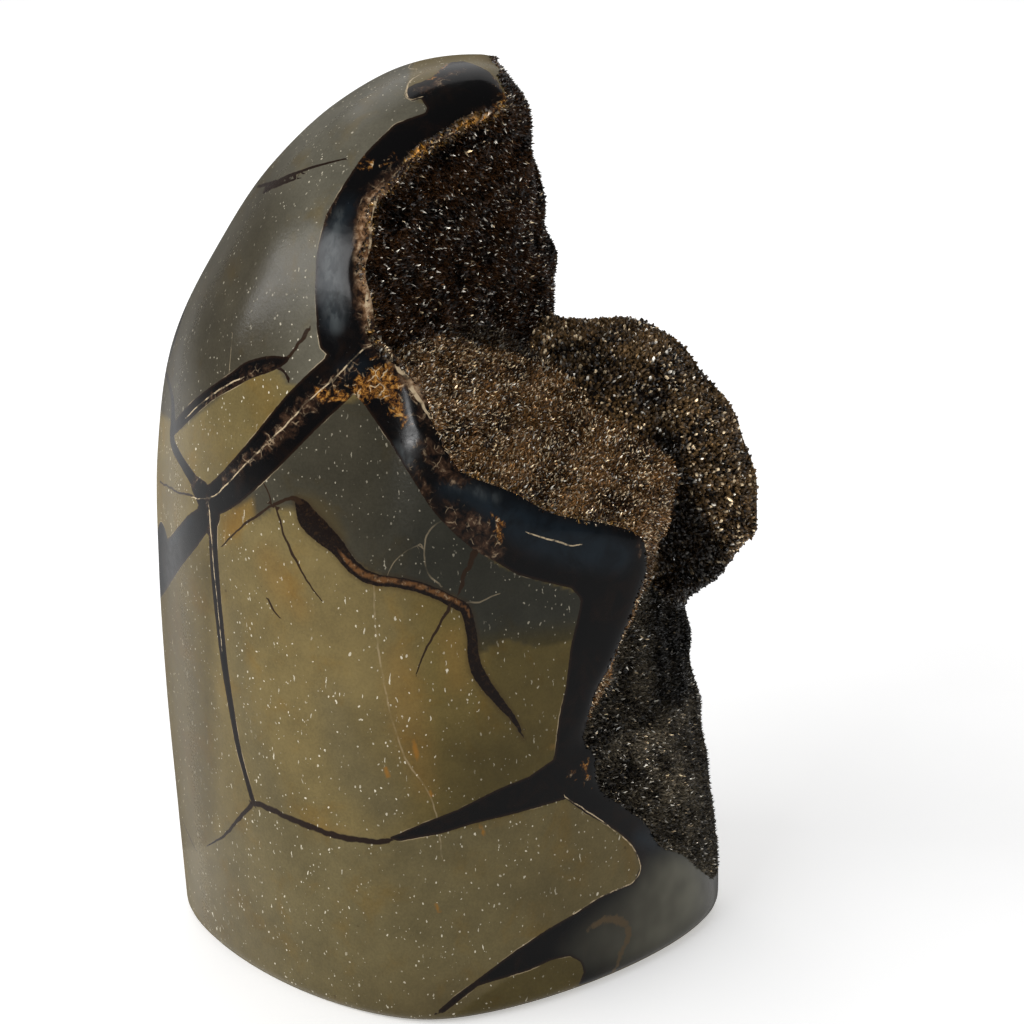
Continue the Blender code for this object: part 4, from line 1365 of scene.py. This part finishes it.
def druse_finish():
    """Small glassy calcite crystals: each has its own tone, with painted shade at the foot, painted light
    towards the tip and painted sparkle on the tips.
    """
    f = Finish("calcite_crystals")
    tip = f.field("tip")
    cloudy = f.noise(0.35, 3, 0.6)
    # Painted shade at each crystal's foot and painted light towards its tip.
    shade = f.times(f.rise(tip, 0.0, 1.0, 0.12, 1.6), f.rise(cloudy, 0.3, 0.7, 0.7, 1.3))
    colour = f.blend(1.0, f.field("tone", "Color"), shade, "MULTIPLY")
    # Painted sparkle: pale specks on the tips.
    painted_sparkle = f.times(f.rise(f.noise(0.2, 2, 0.7), 0.62, 0.8), f.rise(tip, 0.6, 1.0))
    colour = f.blend(f.times(painted_sparkle, 0.35), colour, TONES["painted_glint"])
    rough = f.rise(f.field("luck"), 0.0, 1.0, 0.05, 0.32)
    normal = f.bump(cloudy, 0.03)
    return f.surface(Base_Color=colour, Roughness=rough, Normal=normal, Specular_IOR_Level=0.32)


def floor_finish():
    """A pale studio sweep with a faint mottling."""
    f = Finish("pale_floor")
    colour = f.blend(f.rise(f.noise(60.0, 3), 0.3, 0.7), (0.90, 0.90, 0.90), (0.93, 0.93, 0.93))
    return f.surface(Base_Color=colour, Roughness=0.9, Specular_IOR_Level=0.1,
                     Emission_Color=(1.0, 1.0, 1.0), Emission_Strength=FLOOR_GLOW)


# --- the room ---

def build_floor():
    """A wide disc under the nodule: rings of points about the middle, each a share of its reach."""
    turn = np.linspace(0, 2 * math.pi, FLOOR_SIDES, endpoint=False)
    rings = [np.stack([np.cos(turn) * reach, np.sin(turn) * reach, 0 * turn], axis=1)
             for reach in FLOOR_REACHES]
    points = np.concatenate([*rings, [[0, 0, 0]]])
    count = len(FLOOR_REACHES) * FLOOR_SIDES
    number = np.arange(count).reshape(len(FLOOR_REACHES), FLOOR_SIDES)
    a, b = number[:-1].ravel(), np.roll(number, -1, axis=1)[:-1].ravel()
    d, c = number[1:].ravel(), np.roll(number, -1, axis=1)[1:].ravel()
    faces = np.concatenate([np.stack([a, d, c], 1), np.stack([a, c, b], 1),
                            ring_fan(number[0], count, True)])
    put_in_scene("floor", points, faces, floor_finish())


def add_light(name, place, aim, size, power, roll):
    """A soft rectangular light at a place, turned to an aim, both in millimetres, and rolled."""
    lamp = bpy.data.lights.new(name, "AREA")
    lamp.shape = "RECTANGLE"
    lamp.size, lamp.size_y = size[0] * MM, size[1] * MM
    lamp.energy = power
    light = bpy.data.objects.new(name, lamp)
    light.location = Vector(place) * MM
    turn = (Vector(aim) - Vector(place)).to_track_quat("-Z", "Y")
    light.rotation_euler = (turn @ Quaternion((0, 0, 1), math.radians(roll))).to_euler()
    bpy.context.scene.collection.objects.link(light)


def build_room():
    """The floor, the lights, the pale surroundings and the camera."""
    build_floor()
    for light in LIGHTS:
        add_light(*light)
    world = bpy.data.worlds.new("pale_room")
    world.use_nodes = True
    world.node_tree.nodes["Background"].inputs["Color"].default_value = (1, 1, 1, 1)
    world.node_tree.nodes["Background"].inputs["Strength"].default_value = ROOM_BRIGHTNESS
    bpy.context.scene.world = world
    bpy.context.scene.view_settings.view_transform = "Standard"
    lens = bpy.data.cameras.new("camera")
    lens.sensor_width = FILM_WIDTH
    lens.lens = FILM_WIDTH * EYE_DISTANCE / (2 * SHEET_CENTRE * SHEET_UNIT)
    lens.clip_start = 0.01
    camera = bpy.data.objects.new("camera", lens)
    eye = Vector(eye_axes()[0]) * MM
    camera.location = eye
    camera.rotation_euler = (Vector(EYE_TARGET) * MM - eye).to_track_quat("-Z", "Y").to_euler()
    bpy.context.scene.collection.objects.link(camera)
    bpy.context.scene.camera = camera


def build():
    """The nodule with its druse, in the room."""
    stone, points, triangles, mouth = build_stone(polished_finish())
    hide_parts("nodule")
    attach(stone, "root")

    chance = np.random.default_rng(SEED)
    floor = triangles[mouth[triangles].max(axis=1) > 0]
    finish = druse_finish()
    middles = points[floor].mean(axis=1)
    nearest = np.argmin(np.stack(block_measures(middles)), axis=0)
    names = list(BLOCKS)
    nearest[(nearest == names.index("lower")) & (middles[:, 2] > SHELF_FOOT)] = names.index("shelf")
    for name, blocks, kind, spacing, width, height, lean, droop in DRUSE_AREAS:
        own = np.isin(nearest, [names.index(block) for block in blocks])
        places = scattered(points, floor[own], spacing, chance)
        druse = build_druse(name, places, finish, chance, kind, width, height, lean, droop)
        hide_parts("crystal_crust")
        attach(druse, "root")


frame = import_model()
build_room()
build()
